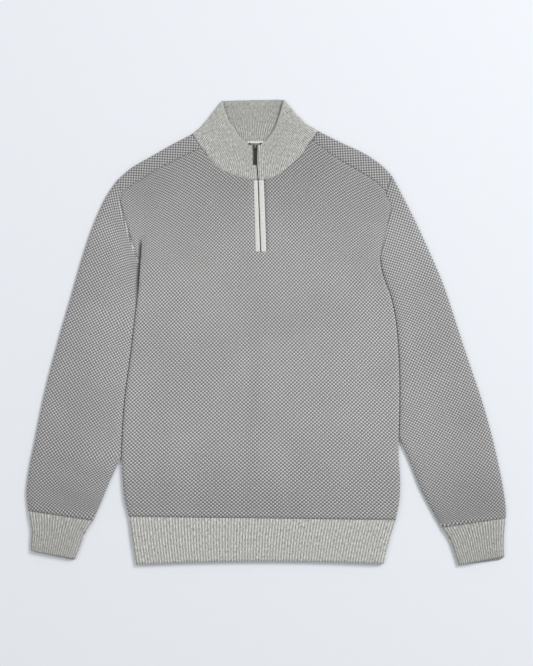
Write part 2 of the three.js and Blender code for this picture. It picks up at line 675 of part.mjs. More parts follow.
// Hem band, upper layer (side 1) or lower (-1)
function hem(side) {
  const middles = [0.2, 0.4, 0.6, 0.8]; // shares of the way across, between the two rolls
  const rows = HEM.map((row, j) => {
    const left = { x: row.leftX + SEAM / 2, y: row.leftY - (j === 0 ? SEAM : 0) };
    const right = { x: row.rightX - SEAM / 2, y: row.rightY - (j === 0 ? SEAM : 0) };
    const width = right.x - left.x;
    const near = ROLL / width;
    const shares = [
      ...ROLL_STEPS.map((step) => step / width),
      ...middles.map((share) => mix(near, 1 - near, share)),
      ...[...ROLL_STEPS].reverse().map((step) => 1 - step / width),
    ];
    return shares.map((share) => {
      const point = blend(left, right, share);
      point.y += row.sag * (1 - (2 * share - 1) ** 2);
      const inwards = Math.min(share, 1 - share) * width;
      const inset = innerStep(inwards, RIB) - inwards;
      const inner = { x: point.x + (share < 0.5 ? inset : -inset), y: point.y };
      const gap = side * (SEAM / 2);
      const lift = side > 0 ? gap : gap * (1 - roll(inwards, ROLL));
      const outerZ = outerHeight(side, RIB_TOP, inwards) + lift;
      return section(point, outerZ, inner, innerHeight(side, RIB_TOP, RIB, inwards + inset) + lift);
    });
  });
  const start = ROLL_STEPS.length - 1;
  const width = (HEM[0].rightX - HEM[0].leftX - 2 * ROLL) / (middles.length + 1);
  const count = Math.round(width / HEM_RIB_PITCH);
  const ribs = (i) => {
    if (side < 0) return {};
    if (i >= start && i <= start + middles.length) return { out: count };
    return i === start - 1 || i === start + middles.length + 1 ? { out: 1 } : {};
  };
  return wall(rows, { ribs });
}

// Collar: one strip of rib from zip edge to zip edge, folded at each side of the neck. The
// upper layer has its ribs on the outer face, and the lower one on the face that shows.
function collar() {
  const steps = [...ROLL_STEPS].reverse();
  const at = (row, height) => {
    const base = { x: row.baseX, y: row.baseY };
    const top = { x: row.topX, y: row.topY };
    const lift = { x: top.x - base.x, y: top.y - base.y };
    const size = Math.hypot(lift.x, lift.y);
    const clear = row.layer === 0 ? COLLAR_GAP.sideFold : COLLAR_GAP.flat;
    const start = height.share === 0 ? clear / size : 0;
    const point = blend(base, top, height.share + start);
    if (row.layer !== 0) return point;
    const inwards = row.baseX < 0 ? height.hollowLeft : -height.hollowRight;
    return { x: point.x + (lift.y / size) * inwards, y: point.y - (lift.x / size) * inwards };
  };
  const placed = (fold, next, layer, step) => {
    const size = distance(fold, next);
    const outer = blend(fold, next, step / size);
    const inset = innerStep(step, RIB);
    const inner = blend(fold, next, inset / size);
    const innerZ = innerHeight(layer, RIB_TOP, RIB, inset);
    return { ...section(outer, outerHeight(layer, RIB_TOP, step), inner, innerZ), layer };
  };
  const rows = COLLAR_HEIGHTS.map((height) => COLLAR.flatMap((row, i) => {
    const point = at(row, height);
    if (row.layer !== 0) {
      const z = row.layer > 0 ? [RIB_TOP, RIB_TOP - RIB] : [0, RIB];
      return [{ ...section(point, z[0], point, z[1]), layer: row.layer }];
    }
    const [before, after] = [COLLAR[i - 1], COLLAR[i + 1]];
    const [last, next] = [at(before, height), at(after, height)];
    const edge = section(point, RIB_TOP / 2, blend(last, next, 0.5), RIB_TOP / 2);
    const inwards = new THREE.Vector3().subVectors(edge.behind, edge.out).setLength(RIB);
    edge.behind.addVectors(edge.out, inwards);
    return [
      ...steps.slice(0, -1).map((step) => placed(point, last, before.layer, step)),
      { ...edge, layer: 0 },
      ...steps.slice(0, -1).reverse().map((step) => placed(point, next, after.layer, step)),
    ];
  }));
  const base = rows[0];
  const ribs = (i) => {
    const [a, b] = [base[i], base[i + 1]];
    if (i === 0 || i === base.length - 2 || a.layer === 0 || b.layer === 0) return {};
    const count = Math.round(a.out.distanceTo(b.out) / COLLAR_RIB_PITCH);
    return a.layer > 0 ? { out: count } : { behind: count };
  };
  return wall(rows, { ribs });
}

// Zip

function band(side) {
  const rows = [SLIT_FOOT + SEAM, ZIP_LINE.at(-2).y, BAND.topY].map((y) => {
    const share = (y - SLIT_LOW.y) / (NECK_LEFT.at(-1).y - SLIT_LOW.y);
    const edges = {
      left: mix(SLIT_LOW.leftX, NECK_LEFT.at(-1).x, share) + SEAM,
      right: mix(SLIT_LOW.rightX, NECK_RIGHT.at(-1).x, share) - SEAM,
    };
    const middle = zipX(y) + (side === "left" ? -ZIP_GAP / 2 : ZIP_GAP / 2);
    const ends = [edges[side], middle].sort((a, b) => a - b);
    return ends.map((x) => section({ x, y }, BAND.high, { x, y }, BAND.low));
  });
  return wall(rows);
}

function coil() {
  const bends = ZIP_LINE.slice(1, -1).reverse().map((point) => point.y);
  const heights = [COIL.footY, ...bends, COIL.topY];
  const rows = heights.map((y) => [-1, 1].map((way) => {
    const point = { x: zipX(y) + (way * COIL.width) / 2, y };
    return section(point, COIL.high, point, COIL.low);
  }));
  return wall(rows);
}

// A flat plate: an outline, pulled up from z = 0
const plate = (outline, thick) =>
  new THREE.ExtrudeGeometry(outline, { depth: thick, bevelEnabled: false, curveSegments: 6 });

// The slider: a shield with its point towards the pull, and a bridge that holds the pull
function sliderOutline() {
  const { tip, waist, sideY, dip } = SHIELD;
  const [half, high] = [SLIDER.width / 2, SLIDER.length / 2];
  const outline = new THREE.Shape();
  outline.moveTo(-tip / 2, -high);
  outline.lineTo(tip / 2, -high);
  outline.quadraticCurveTo(2 * waist, 0, half, 2 * sideY);
  outline.lineTo(half, high);
  outline.quadraticCurveTo(0, high - dip, -half, high);
  outline.lineTo(-half, 2 * sideY);
  outline.quadraticCurveTo(-2 * waist, 0, -tip / 2, -high);
  return outline;
}

// The bridge's arch, seen from its side: x runs along the zip and y up from the shield
function bridgeOutline() {
  const { length, post, window, bar, chamfer } = BRIDGE;
  const half = length / 2;
  const outline = new THREE.Shape();
  outline.moveTo(-half, 0);
  outline.lineTo(-half, window + bar - chamfer);
  outline.lineTo(-half + chamfer, window + bar);
  outline.lineTo(half - chamfer, window + bar);
  outline.lineTo(half, window + bar - chamfer);
  outline.lineTo(half, 0);
  outline.lineTo(half - post, 0);
  outline.lineTo(half - post, window);
  outline.lineTo(-half + post, window);
  outline.lineTo(-half + post, 0);
  outline.closePath();
  return outline;
}

// Joins closed geometries into one body
async function joined(geometries) {
  const wasm = await Module();
  wasm.setup();
  const solids = geometries.map((geometry) => {
    const bare = geometry.clone();
    bare.deleteAttribute("normal");
    bare.deleteAttribute("uv");
    const merged = mergeVertices(bare);
    const mesh = new wasm.Mesh({
      numProp: 3,
      vertProperties: new Float32Array(merged.attributes.position.array),
      triVerts: new Uint32Array(merged.index.array),
    });
    return new wasm.Manifold(mesh);
  });
  const mesh = solids.reduce((whole, solid) => whole.add(solid)).getMesh();
  const geometry = new THREE.BufferGeometry();
  geometry.setAttribute("position", new THREE.BufferAttribute(new Float32Array(mesh.vertProperties), 3));
  geometry.setIndex(new THREE.BufferAttribute(new Uint32Array(mesh.triVerts), 1));
  const flat = geometry.toNonIndexed();
  flat.computeVertexNormals();
  return flat;
}

const sink = 0.2; // how far pieces of one body reach into each other before they are joined

async function slider() {
  const shield = plate(sliderOutline(), SLIDER.thick);
  const arch = plate(bridgeOutline(), BRIDGE.width);
  // The arch's outline is turned to stand on the shield, its window facing sideways
  arch.translate(0, 0, -BRIDGE.width / 2);
  arch.rotateX(Math.PI / 2);
  arch.rotateZ(Math.PI / 2);
  arch.translate(0, 0, SLIDER.thick - sink);
  const body = await joined([shield, arch]);
  return body.translate(SLIDER.x, SLIDER.y, SLIDER.low);
}

// The pull: a tab, and two arms laid over its end that hold a round pin through the arch
const PIVOT = { y: SLIDER.y, z: SLIDER.low + SLIDER.thick - sink + BRIDGE.window / 2 };

async function pull() {
  const { width, thick, endY, low, window, gap, pin, lap, round } = PULL;
  const length = PIVOT.y - endY;
  const tab = new THREE.Shape();
  const half = width / 2;
  tab.moveTo(-half, -window);
  tab.lineTo(-half, -length + round);
  tab.quadraticCurveTo(-half, -length, -half + round, -length);
  tab.lineTo(half - round, -length);
  tab.quadraticCurveTo(half, -length, half, -length + round);
  tab.lineTo(half, -window);
  tab.closePath();
  const tabBody = plate(tab, thick).translate(0, 0, low - PIVOT.z);
  const arms = [-1, 1].map((way) => {
    const armWidth = (width - gap) / 2;
    const arm = new THREE.BoxGeometry(armWidth, window + pin + lap, 2 * pin);
    return arm.translate(way * (gap + armWidth) / 2, (pin - window - lap) / 2, 0);
  });
  const bar = new THREE.CylinderGeometry(pin, pin, gap + 2 * sink, 10).rotateZ(Math.PI / 2);
  const body = await joined([tabBody, ...arms, bar]);
  return body.translate(SLIDER.x, PIVOT.y, PIVOT.z);
}

const group = new THREE.Group();
group.position.set(-CENTRE.x, -CENTRE.y, 0);

function add(name, geometry, finish) {
  const mesh = new THREE.Mesh(geometry, new THREE.MeshStandardMaterial(finish));
  mesh.name = name;
  group.add(mesh);
  return mesh;
}

add("back", backPanel(), FINISH.knit);
add("front", frontPanel(), FINISH.knit);
add("sleeve_left", sleeve("left", SLEEVE_LEFT), FINISH.knit);
add("sleeve_right", sleeve("right", SLEEVE_RIGHT), FINISH.knit);
add("cuff_left", cuff(CUFF_LEFT), FINISH.rib);
add("cuff_right", cuff(CUFF_RIGHT), FINISH.rib);
add("hem_front", hem(1), FINISH.rib);
add("hem_back", hem(-1), FINISH.rib);
add("collar", collar(), FINISH.rib);
add("placket_left", band("left"), FINISH.band);
add("placket_right", band("right"), FINISH.band);
add("zip_coil", coil(), FINISH.coil);
for (const [name, way] of [["zip_end_left", -1], ["zip_end_right", 1]]) {
  const { length, width, thick, turn, reach, y, low } = COIL_END;
  const end = add(name, new THREE.BoxGeometry(length, width, thick), FINISH.coil);
  end.rotation.z = way * THREE.MathUtils.degToRad(turn);
  end.position.set(SLIDER.x + way * reach, y, low + thick / 2);
}
add("zip_slider", await slider(), FINISH.slider);
add("zip_pull", await pull(), FINISH.pull);
const label = add("neck_label", new THREE.BoxGeometry(LABEL.width, LABEL.length, LABEL.thick), FINISH.label);
label.position.set(LABEL.x, LABEL.topY - LABEL.length / 2, LABEL.low + LABEL.thick / 2);

export default group;
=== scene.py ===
import math

import bmesh
import bpy
import numpy as np
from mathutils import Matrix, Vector


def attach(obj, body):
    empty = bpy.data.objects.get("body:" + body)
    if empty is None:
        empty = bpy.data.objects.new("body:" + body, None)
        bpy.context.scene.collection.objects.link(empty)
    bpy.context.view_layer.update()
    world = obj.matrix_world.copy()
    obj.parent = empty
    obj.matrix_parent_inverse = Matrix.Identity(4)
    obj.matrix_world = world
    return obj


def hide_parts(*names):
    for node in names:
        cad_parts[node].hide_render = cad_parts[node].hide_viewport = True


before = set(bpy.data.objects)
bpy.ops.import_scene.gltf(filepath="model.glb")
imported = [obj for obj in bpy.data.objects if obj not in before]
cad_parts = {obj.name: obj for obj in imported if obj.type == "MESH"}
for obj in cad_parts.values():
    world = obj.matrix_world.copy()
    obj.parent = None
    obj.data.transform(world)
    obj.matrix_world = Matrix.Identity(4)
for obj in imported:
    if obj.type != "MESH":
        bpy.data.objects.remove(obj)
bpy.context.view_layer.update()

MM = 0.001
PLAN_TO_FRAME = np.array([0.0, 1.25, 0.0])

# Camera: straight above, framed as the photograph is
PIXEL = 1.65  # millimetres a pixel
VIEW_CENTRE = (0.5, -1.2)
VIEW_HEIGHT = 666 * PIXEL
LENS, SENSOR = 85.0, 36.0
CLOTH_HEIGHT = 8.4

camera_data = bpy.data.cameras.new("camera")
camera_data.lens = LENS
camera_data.sensor_fit = "VERTICAL"
camera_data.sensor_height = SENSOR
camera = bpy.data.objects.new("camera", camera_data)
camera.location = Vector((*VIEW_CENTRE, CLOTH_HEIGHT + VIEW_HEIGHT * LENS / SENSOR)) * MM
bpy.context.scene.collection.objects.link(camera)
bpy.context.scene.camera = camera

# Cloth
KNIT = 2.8
RIB = 2.6
RIB_RISE = 0.75
HEM_PITCH = 4.9
COLLAR_PITCH = 3.5
SEAM = 0.3
SLIT = 0.9
BODY_TOP = 8.4
SLEEVE_TOP = 7.8
RIB_TOP = 8.0
REACH = 7.0  # how far in from its folded sides the body rolls
SHOULDER_REACH = 20.0
SLEEVE_REACH = 16.0
RIB_REACH = 10.0
DEEPEST = 2.5  # how far a trough takes the cloth's inner face down
STITCH = 2.95  # width and height of one stitch of the bird's-eye knit

# Sides of the body, from the underarms to the hem seam: left x, y, right x, y
SIDE = np.array([
    (-209, 115, 188.5, 123), (-210, 94, 190.5, 104), (-211.5, 70, 197, 82),
    (-215, 40, 206, 58), (-219, 5, 214, 20), (-223, -30, 218, -22),
    (-228, -68, 220, -64), (-233, -105, 220.5, -105), (-236, -140, 220, -140),
    (-238, -175, 219, -175), (-239, -207, 219, -207), (-237.5, -240, 221.5, -242),
    (-234.5, -274, 220.5, -277), (-227, -305.5, 214.5, -311),
])
# Hem band, from the seam down: left x, y, right x, y, rise of its middle
HEM = np.array([
    (-227, -305.5, 214.5, -311, 0), (-221.5, -348, 203, -349, 1.5), (-215.5, -385, 194.5, -384, 5),
])
# Shoulders, from the armhole to the neck: fold x, y, seam x, y
SHOULDER_LEFT = np.array([
    (-246, 250, -239.5, 228), (-222, 271, -217, 245), (-190, 289.5, -184, 265.5),
    (-155, 309.5, -146, 285), (-123, 326, -107.5, 303),
])
SHOULDER_RIGHT = np.array([
    (207.5, 257.5, 197.5, 232), (189, 276, 177, 250), (160, 295.5, 147, 268.5),
    (125, 311.5, 112, 289), (85.5, 331.5, 75.5, 316),
])
# Armhole seams, from the shoulder fold to the underarm
ARMHOLE = {
    "left": np.array([
        (-246, 250), (-239.5, 228), (-240, 214), (-234, 191), (-228, 172), (-221, 149),
        (-213, 125), (-209, 115),
    ]),
    "right": np.array([
        (207.5, 257.5), (197.5, 232), (206, 208), (204, 195), (201, 180), (197, 161),
        (191, 135), (188.5, 123),
    ]),
}
# Neck seam of the front, from each shoulder to the slit, and of the back
NECK_LEFT = np.array([(-97.5, 291), (-81, 271.5), (-58, 260), (-36.5, 253.5), (-21.5, 250)])
NECK_RIGHT = np.array([(70.5, 311), (60, 294.5), (42.5, 276.5), (18, 258), (-3.5, 250)])
NECK_BACK = np.array([
    (-113, 323), (-90, 317), (-55, 312), (-18.5, 311), (18, 313.5), (50, 320), (76, 328),
])
# Slit for the zip: its edges at the underarms' height, and its foot
SLIT_LOW = {"left": -17.9, "right": 1.2, "y": 119}
SLIT_FOOT = 131.2
# The line the zip closes on, from the collar's top edge down
ZIP_LINE = np.array([(-18, 310), (-14.2, 275), (-13.4, 250), (-11.3, 190), (-9.2, 130.2)])
# Sleeves, from the armhole to the cuff seam: outer x, y
SLEEVE = {
    "left": np.array([
        (-246, 250), (-266, 219), (-287, 171), (-305.5, 115), (-322, 57), (-336, 10),
        (-348, -33), (-359, -74), (-368, -112), (-376, -150), (-383, -186), (-391, -225),
        (-396, -265), (-393.5, -296),
    ]),
    "right": np.array([
        (207.5, 257.5), (229, 217), (250, 175), (271, 129), (293, 77), (313, 17),
        (327, -26), (341, -68), (354, -106), (367, -150), (379, -197), (389, -245),
        (395.5, -286), (396, -308),
    ]),
}
# The sleeves' inner edges from where they leave the body's sides
SLEEVE_FREE = {
    "left": np.array([(-257.5, -245), (-272.5, -281), (-286, -312.5)]),
    "right": np.array([(238, -216), (255.5, -260), (277, -301), (290, -324)]),
}
SLEEVE_BOW = ((0, 1, 2, 3), (1, 0.55, 0.2, 0))
# Cuffs, from the seam to the opening: outer x, y, inner x, y. below is how far the under
# layer shows past the upper one at the outer and inner ends of the opening
CUFF = {
    "left": np.array([
        (-393.5, -296, -286, -312.5), (-388, -328, -300.5, -336), (-389, -350, -308, -357),
        (-388.5, -362, -315.5, -376),
    ]),
    "right": np.array([
        (396, -308, 290, -324), (393.5, -334, 303, -344), (393, -356, 311.5, -367),
        (393.5, -371, 317.5, -386),
    ]),
}
CUFF_BELOW = {"left": (1.5, 2.5), "right": (5.5, 0.5)}
# Collar by sections, each from one end to the other: base x, y, top x, y. The two fronts
# end in the side folds that the back joins.
COLLAR_LEFT = np.array([
    (-14.2, 250, -19.2, 309), (-21.5, 250, -26, 310), (-36.5, 253.5, -33.5, 314),
    (-58, 260, -43, 321), (-81, 271.5, -53, 336), (-97.5, 291, -62, 348),
    (-107.5, 303, -66.5, 361), (-123, 326, -73, 381.5),
])
COLLAR_BACK = np.array([
    (-123, 326, -73, 381.5), (-90, 317, -56, 382), (-55, 312, -40, 382.5),
    (-18.5, 311, -22, 383), (18, 313.5, -3, 383.2), (50, 320, 13, 383.5), (85.5, 331.5, 29.5, 383.5),
])
COLLAR_RIGHT = np.array([
    (85.5, 331.5, 29.5, 383.5), (75.5, 316, 25.5, 371), (70.5, 311, 23.5, 363),
    (60, 294.5, 20, 352), (42.5, 276.5, 14.5, 337), (18, 258, 5.5, 323),
    (-3.5, 250, -6, 311.5), (-12.6, 250, -16.8, 309),
])
# How far the side folds curve in, at shares of the collar's height
COLLAR_HOLLOW = {"share": (0, 0.3, 0.6, 1), "left": (0, 3.5, 2.4, 0), "right": (0, 4.6, 3.9, 0)}
COLLAR_FOOT = 0.4  # gap between the neck seam and the collar

# Zip
ZIP_GAP = 1.5
BAND = {"low": 5.4, "high": 8.2, "top": 249.7}
TEETH = {"low": 5.0, "high": 6.1, "pitch": 1.5, "width": 1.0, "length": 0.8}

# Creases: soft troughs (below 0) and ridges, from one end to the other: x, y, x, y, rise, width
FRONT_CREASES = (
    (-25, 19, -33, -150, -2.2, 14), (-33, -120, -38, -302, -2.0, 18),
    (-174, -138, -182, -298, -1.6, 13), (34, -195, 41, -298, -1.3, 10),
    (72, -125, 76, -250, 1.1, 24), (-68, -140, -76, -255, 1.0, 26),
    (-205, 166, -211, 96, -4.6, 4.5), (-196, 172, -206, 104, -1.2, 12), (192, 180, 189, 118, -1.8, 8),
    (-203, 160, -160, 178, -1.2, 12), (190, 172, 150, 190, -0.9, 13),
    (176, 96, 186, 70, -1.4, 13), (-190, 88, -206, 40, -1.0, 12),
    (130, -200, 138, -296, -0.7, 11), (-120, -230, -124, -300, -0.7, 9),
    (-150, 225, -60, 205, 0.6, 30), (120, 235, 60, 200, 0.7, 28),
    (-110, 40, -118, -60, 0.5, 34), (110, 60, 120, -40, 0.6, 36),
    (-230, -296, 215, -302, -1.0, 16),
)
BACK_CREASES = (
    (-150, 150, -60, 60, 0.9, 16), (140, 170, 40, 90, 0.8, 14), (-20, 40, -40, -190, 1.2, 20),
    (120, -60, 150, -230, 1.0, 15), (-150, -40, -190, -220, 0.9, 14), (30, -210, 45, -290, 0.7, 10),
)
# The line of painted shade at the left underarm, where the body's edge lies over the sleeve: its high and
# low ends, and how much it darkens the knit's colour
UNDERARM_SHADE_LINE = {"high": (-205.3, 154.0), "low": (-212.5, 60.0), "shade": 0.86}
SLEEVE_CREASES = {
    "left": (
        (-262, 190, -236, 150, -1.4, 12), (-300, 60, -240, 25, -0.9, 12),
        (-330, -40, -262, -70, -0.7, 14), (-375, -210, -300, -232, -0.8, 13),
        (-262, 60, -300, -60, 0.5, 22), (-380, -262, -296, -282, -1.0, 10),
    ),
    "right": (
        (240, 176, 212, 140, -1.2, 12), (290, 40, 236, 5, -0.8, 12),
        (330, -60, 262, -84, -0.7, 13), (368, -200, 300, -226, -0.9, 13),
        (262, 40, 300, -90, 0.6, 22), (384, -280, 300, -300, -0.9, 10),
    ),
}
UNDERSLEEVE_CREASES = {
    "left": ((-290, 120, -250, 60, 0.9, 12), (-350, -80, -280, -120, 0.8, 12)),
    "right": ((270, 100, 230, 50, 0.8, 12), (340, -90, 270, -130, 0.9, 12)),
}


# Curves in the plan


def curve(points, at):
    """Points of a smooth curve through a table's rows, at fractional row numbers."""
    rows = np.asarray(points, float)
    ends = np.vstack([2 * rows[0] - rows[1], rows, 2 * rows[-1] - rows[-2]])
    i = np.clip(np.floor(at).astype(int), 0, len(rows) - 2)
    t = (np.asarray(at) - i)[:, None]
    a, b, c, d = ends[i], ends[i + 1], ends[i + 2], ends[i + 3]
    bend = (2 * a - 5 * b + 4 * c - d) * t**2 + (3 * b - a - 3 * c + d) * t**3
    return 0.5 * (2 * b + (c - a) * t + bend)


def spline(points, samples=16):
    return curve(points, np.linspace(0, len(points) - 1, (len(points) - 1) * samples + 1))


def length_of(line):
    return np.linalg.norm(np.diff(line, axis=0), axis=1).sum()


def along(line, shares):
    """Points at shares of a line's length in the plan."""
    steps = np.linalg.norm(np.diff(line[:, :2], axis=0), axis=1)
    run = np.concatenate([[0], np.cumsum(steps)]) / steps.sum()
    return np.stack([np.interp(shares, run, line[:, k]) for k in range(line.shape[1])], axis=-1)


def mix(a, b, share):
    return a + (b - a) * share


def unit(vectors):
    return vectors / np.linalg.norm(vectors, axis=-1, keepdims=True)


def away_from(points, line):
    """Distance in the plan from each point of a grid to a line."""
    flat = points.reshape(-1, 1, 2)
    a, b = line[:-1], line[1:]
    run = b - a
    share = np.clip(((flat - a) * run).sum(-1) / np.maximum((run * run).sum(-1), 1e-9), 0, 1)
    near = a + share[..., None] * run
    return np.linalg.norm(flat - near, axis=-1).min(axis=1).reshape(points.shape[:-1])


# Heights of cloth that is folded at its edges


def rolled(inwards, reach):
    left = 1 - np.clip(inwards / reach, 0, 1)
    return np.sqrt(1 - left**2)


def outer_height(side, top, inwards, reach):
    return top / 2 + side * top / 2 * rolled(inwards, reach)


def inner_height(side, top, cloth, inwards, reach):
    return top / 2 + side * (top / 2 - cloth) * rolled(inwards - cloth, reach - cloth)


def inner_step(step, cloth, reach):
    return np.where(step < reach, cloth + step * (reach - cloth) / reach, step)


def roll_steps(reach, count=10):
    return reach * (1 - np.cos(np.linspace(0, math.pi / 2, count)))


def creases(points, table):
    """Height of the creases in a table at the points of a grid."""
    height = np.zeros(points.shape[:-1])
    for x0, y0, x1, y1, rise, width in table:
        start, run = np.array([x0, y0], float), np.array([x1 - x0, y1 - y0], float)
        share = np.clip(((points - start) @ run) / (run @ run), 0, 1)
        away = np.linalg.norm(points - start - share[..., None] * run, axis=-1)
        fade = np.sin(math.pi * (0.12 + 0.76 * share))
        height += rise * fade * np.exp(-((away / width) ** 2))
    return height


def seam_drop(points, lines, depth=0.8, reach=2.6):
    """How far the cloth dips towards the seams that it is sewn to."""
    away = np.min([away_from(points, line) for line in lines], axis=0)
    return depth * np.exp(-((away / reach) ** 2))


def solid(plan, height):
    return np.concatenate([plan, np.asarray(height)[..., None]], axis=-1)


# Meshes


def shell(name, outer, behind, grain, material, nodes, closed=False, there=None):
    """A wall of cloth between two grids (rows, columns, xyz) in millimetres, with the plan
    of its yarn as the UV layer grain. there says which cells of the grid are cloth."""
    rows, columns = outer.shape[:2]
    cells = columns if closed else columns - 1
    if there is None:
        there = np.ones((rows - 1, cells), bool)
    around = np.zeros((rows + 1, cells + 2), bool)
    around[1:-1, 1:-1] = there
    if closed:
        around[1:-1, 0] = there[:, -1]
        around[1:-1, -1] = there[:, 0]
    size = rows * columns

    def corner(j, i):
        return j * columns + i % columns

    j, i = np.nonzero(there)
    front = np.stack([corner(j, i), corner(j, i + 1), corner(j + 1, i + 1), corner(j + 1, i)], 1)
    faces = [front, front[:, ::-1] + size]
    rims = (
        (around[:-2, 1:-1], (0, 0), (0, 1)),
        (around[1:-1, 2:], (0, 1), (1, 1)),
        (around[2:, 1:-1], (1, 1), (1, 0)),
        (around[1:-1, :-2], (1, 0), (0, 0)),
    )
    for neighbour, start, end in rims:
        j, i = np.nonzero(there & ~neighbour)
        a, b = corner(j + start[0], i + start[1]), corner(j + end[0], i + end[1])
        faces.append(np.stack([b, a, a + size, b + size], 1))
    faces = np.concatenate(faces)
    points = np.concatenate([outer.reshape(-1, 3), behind.reshape(-1, 3)]) + PLAN_TO_FRAME
    plan = np.concatenate([grain.reshape(-1, 2)] * 2)
    a, b, c, d = (points[faces[:, k]] for k in range(4))
    volume = (a * np.cross(b, c)).sum() + (a * np.cross(c, d)).sum()
    if volume < 0:
        faces = faces[:, ::-1]
    used, faces = np.unique(faces, return_inverse=True)
    faces = faces.reshape(-1, 4)
    return mesh_object(name, points[used] * MM, faces, material, nodes, plan[used] * MM)


def mesh_object(name, points, faces, material, nodes=(), grain=None, body="garment"):
    mesh = bpy.data.meshes.new(name)
    mesh.from_pydata(points.tolist(), [], faces if isinstance(faces, list) else faces.tolist())
    mesh.polygons.foreach_set("use_smooth", np.ones(len(mesh.polygons), bool))
    if grain is not None:
        corners = np.empty(len(mesh.loops), np.int32)
        mesh.loops.foreach_get("vertex_index", corners)
        mesh.uv_layers.new(name="grain").data.foreach_set("uv", grain[corners].ravel())
    mesh.materials.append(material)
    mesh.update()
    piece = bpy.data.objects.new(name, mesh)
    bpy.context.scene.collection.objects.link(piece)
    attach(piece, body)
    if nodes:
        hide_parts(*nodes)
    return piece


# Materials


class Nodes:
    """A material's node tree, with short ways to add to it."""

    def __init__(self, name, roughness, metallic=0.0):
        self.material = bpy.data.materials.new(name)
        self.material.use_nodes = True
        self.tree = self.material.node_tree
        self.shader = self.tree.nodes["Principled BSDF"]
        self.shader.inputs["Roughness"].default_value = roughness
        self.shader.inputs["Metallic"].default_value = metallic

    def add(self, kind, **settings):
        node = self.tree.nodes.new(kind)
        for key, value in settings.items():
            setattr(node, key, value)
        return node

    def link(self, source, target):
        self.tree.links.new(source, target)

    def put(self, value, socket):
        if isinstance(value, bpy.types.NodeSocket):
            self.link(value, socket)
        else:
            socket.default_value = value

    def math(self, operation, *values):
        node = self.add("ShaderNodeMath", operation=operation)
        for value, socket in zip(values, node.inputs):
            self.put(value, socket)
        return node.outputs[0]

    def smooth(self, value, low, high, to_low=0.0, to_high=1.0):
        node = self.add("ShaderNodeMapRange", interpolation_type="SMOOTHSTEP")
        for each, socket in zip((value, low, high, to_low, to_high), node.inputs):
            self.put(each, socket)
        return node.outputs[0]

    def blend(self, share, first, second, kind="MIX"):
        node = self.add("ShaderNodeMix", data_type="RGBA", blend_type=kind)
        self.put(share, node.inputs[0])
        self.put(first, node.inputs[6])
        self.put(second, node.inputs[7])
        return node.outputs[2]

    def noise(self, where, scale, detail=2.0, roughness=0.5):
        node = self.add("ShaderNodeTexNoise")
        self.link(where, node.inputs["Vector"])
        node.inputs["Scale"].default_value = scale
        node.inputs["Detail"].default_value = detail
        node.inputs["Roughness"].default_value = roughness
        return node.outputs["Fac"]

    def place(self):
        return self.add("ShaderNodeTexCoord").outputs["Object"]

    def grain(self, stretch=(1.0, 1.0)):
        """The yarn's plan, and its two coordinates, in metres."""
        layer = self.add("ShaderNodeUVMap", uv_map="grain")
        scaled = self.add("ShaderNodeVectorMath", operation="MULTIPLY")
        self.link(layer.outputs[0], scaled.inputs[0])
        scaled.inputs[1].default_value = (*stretch, 1.0)
        split = self.add("ShaderNodeSeparateXYZ")
        self.link(layer.outputs[0], split.inputs[0])
        return scaled.outputs[0], split.outputs[0], split.outputs[1]

    def bump(self, height, distance, strength=1.0, under=None):
        node = self.add("ShaderNodeBump")
        node.inputs["Strength"].default_value = strength
        node.inputs["Distance"].default_value = distance
        self.link(height, node.inputs["Height"])
        if under is not None:
            self.link(under, node.inputs["Normal"])
        self.link(node.outputs[0], self.shader.inputs["Normal"])
        return node.outputs[0]

    def product(self, *factors):
        """A grey colour from the product of some numbers."""
        value = factors[0]
        for factor in factors[1:]:
            value = self.math("MULTIPLY", value, factor)
        colour = self.add("ShaderNodeCombineColor")
        for socket in colour.inputs:
            self.link(value, socket)
        return colour.outputs[0]

    def plan(self):
        """The place on the garment's plan, x and y in millimetres, and the height in metres."""
        split = self.add("ShaderNodeSeparateXYZ")
        self.link(self.place(), split.inputs[0])
        x = self.math("MULTIPLY", split.outputs[0], 1000.0)
        y = self.math("MULTIPLY_ADD", split.outputs[1], 1000.0, -PLAN_TO_FRAME[1])
        return x, y, split.outputs[2]

    def colour(self, socket):
        self.link(socket, self.shader.inputs["Base Color"])


def fuzz(nodes, weight=0.25):
    """The soft light edge that wool has."""
    nodes.shader.inputs["Sheen Weight"].default_value = weight
    nodes.shader.inputs["Sheen Roughness"].default_value = 0.6
    nodes.shader.inputs["Specular IOR Level"].default_value = 0.15


def grey(level, tint=(1.0, 1.0, 1.0)):
    return (*(level * part for part in tint), 1.0)


def underarm_shade(nodes, x, y):
    """How much light the fold at the left underarm lets in, painted as shade into the knit's colour:
    little at its line, more towards the sleeve, and all of it past the body's crisp edge."""
    lean = (UNDERARM_SHADE_LINE["low"][0] - UNDERARM_SHADE_LINE["high"][0]) / (
        UNDERARM_SHADE_LINE["low"][1] - UNDERARM_SHADE_LINE["high"][1]
    )
    start = UNDERARM_SHADE_LINE["high"][0] - lean * UNDERARM_SHADE_LINE["high"][1]
    aside = nodes.math("SUBTRACT", x, nodes.math("MULTIPLY_ADD", y, lean, start))
    sleeve_side = nodes.smooth(aside, -6.5, -0.8, 0.0, 1.0)
    body_side = nodes.smooth(aside, 0.2, 1.3, 1.0, 0.0)
    top = nodes.smooth(y, UNDERARM_SHADE_LINE["high"][1] - 14, UNDERARM_SHADE_LINE["high"][1] + 4, 1.0, 0.0)
    foot = nodes.smooth(y, UNDERARM_SHADE_LINE["low"][1] - 30, UNDERARM_SHADE_LINE["low"][1] + 30, 0.0, 1.0)
    beside = nodes.math("MULTIPLY", sleeve_side, body_side)
    near = nodes.math("MULTIPLY", beside, nodes.math("MULTIPLY", top, foot))
    return nodes.math("SUBTRACT", 1.0, nodes.math("MULTIPLY", near, UNDERARM_SHADE_LINE["shade"]))


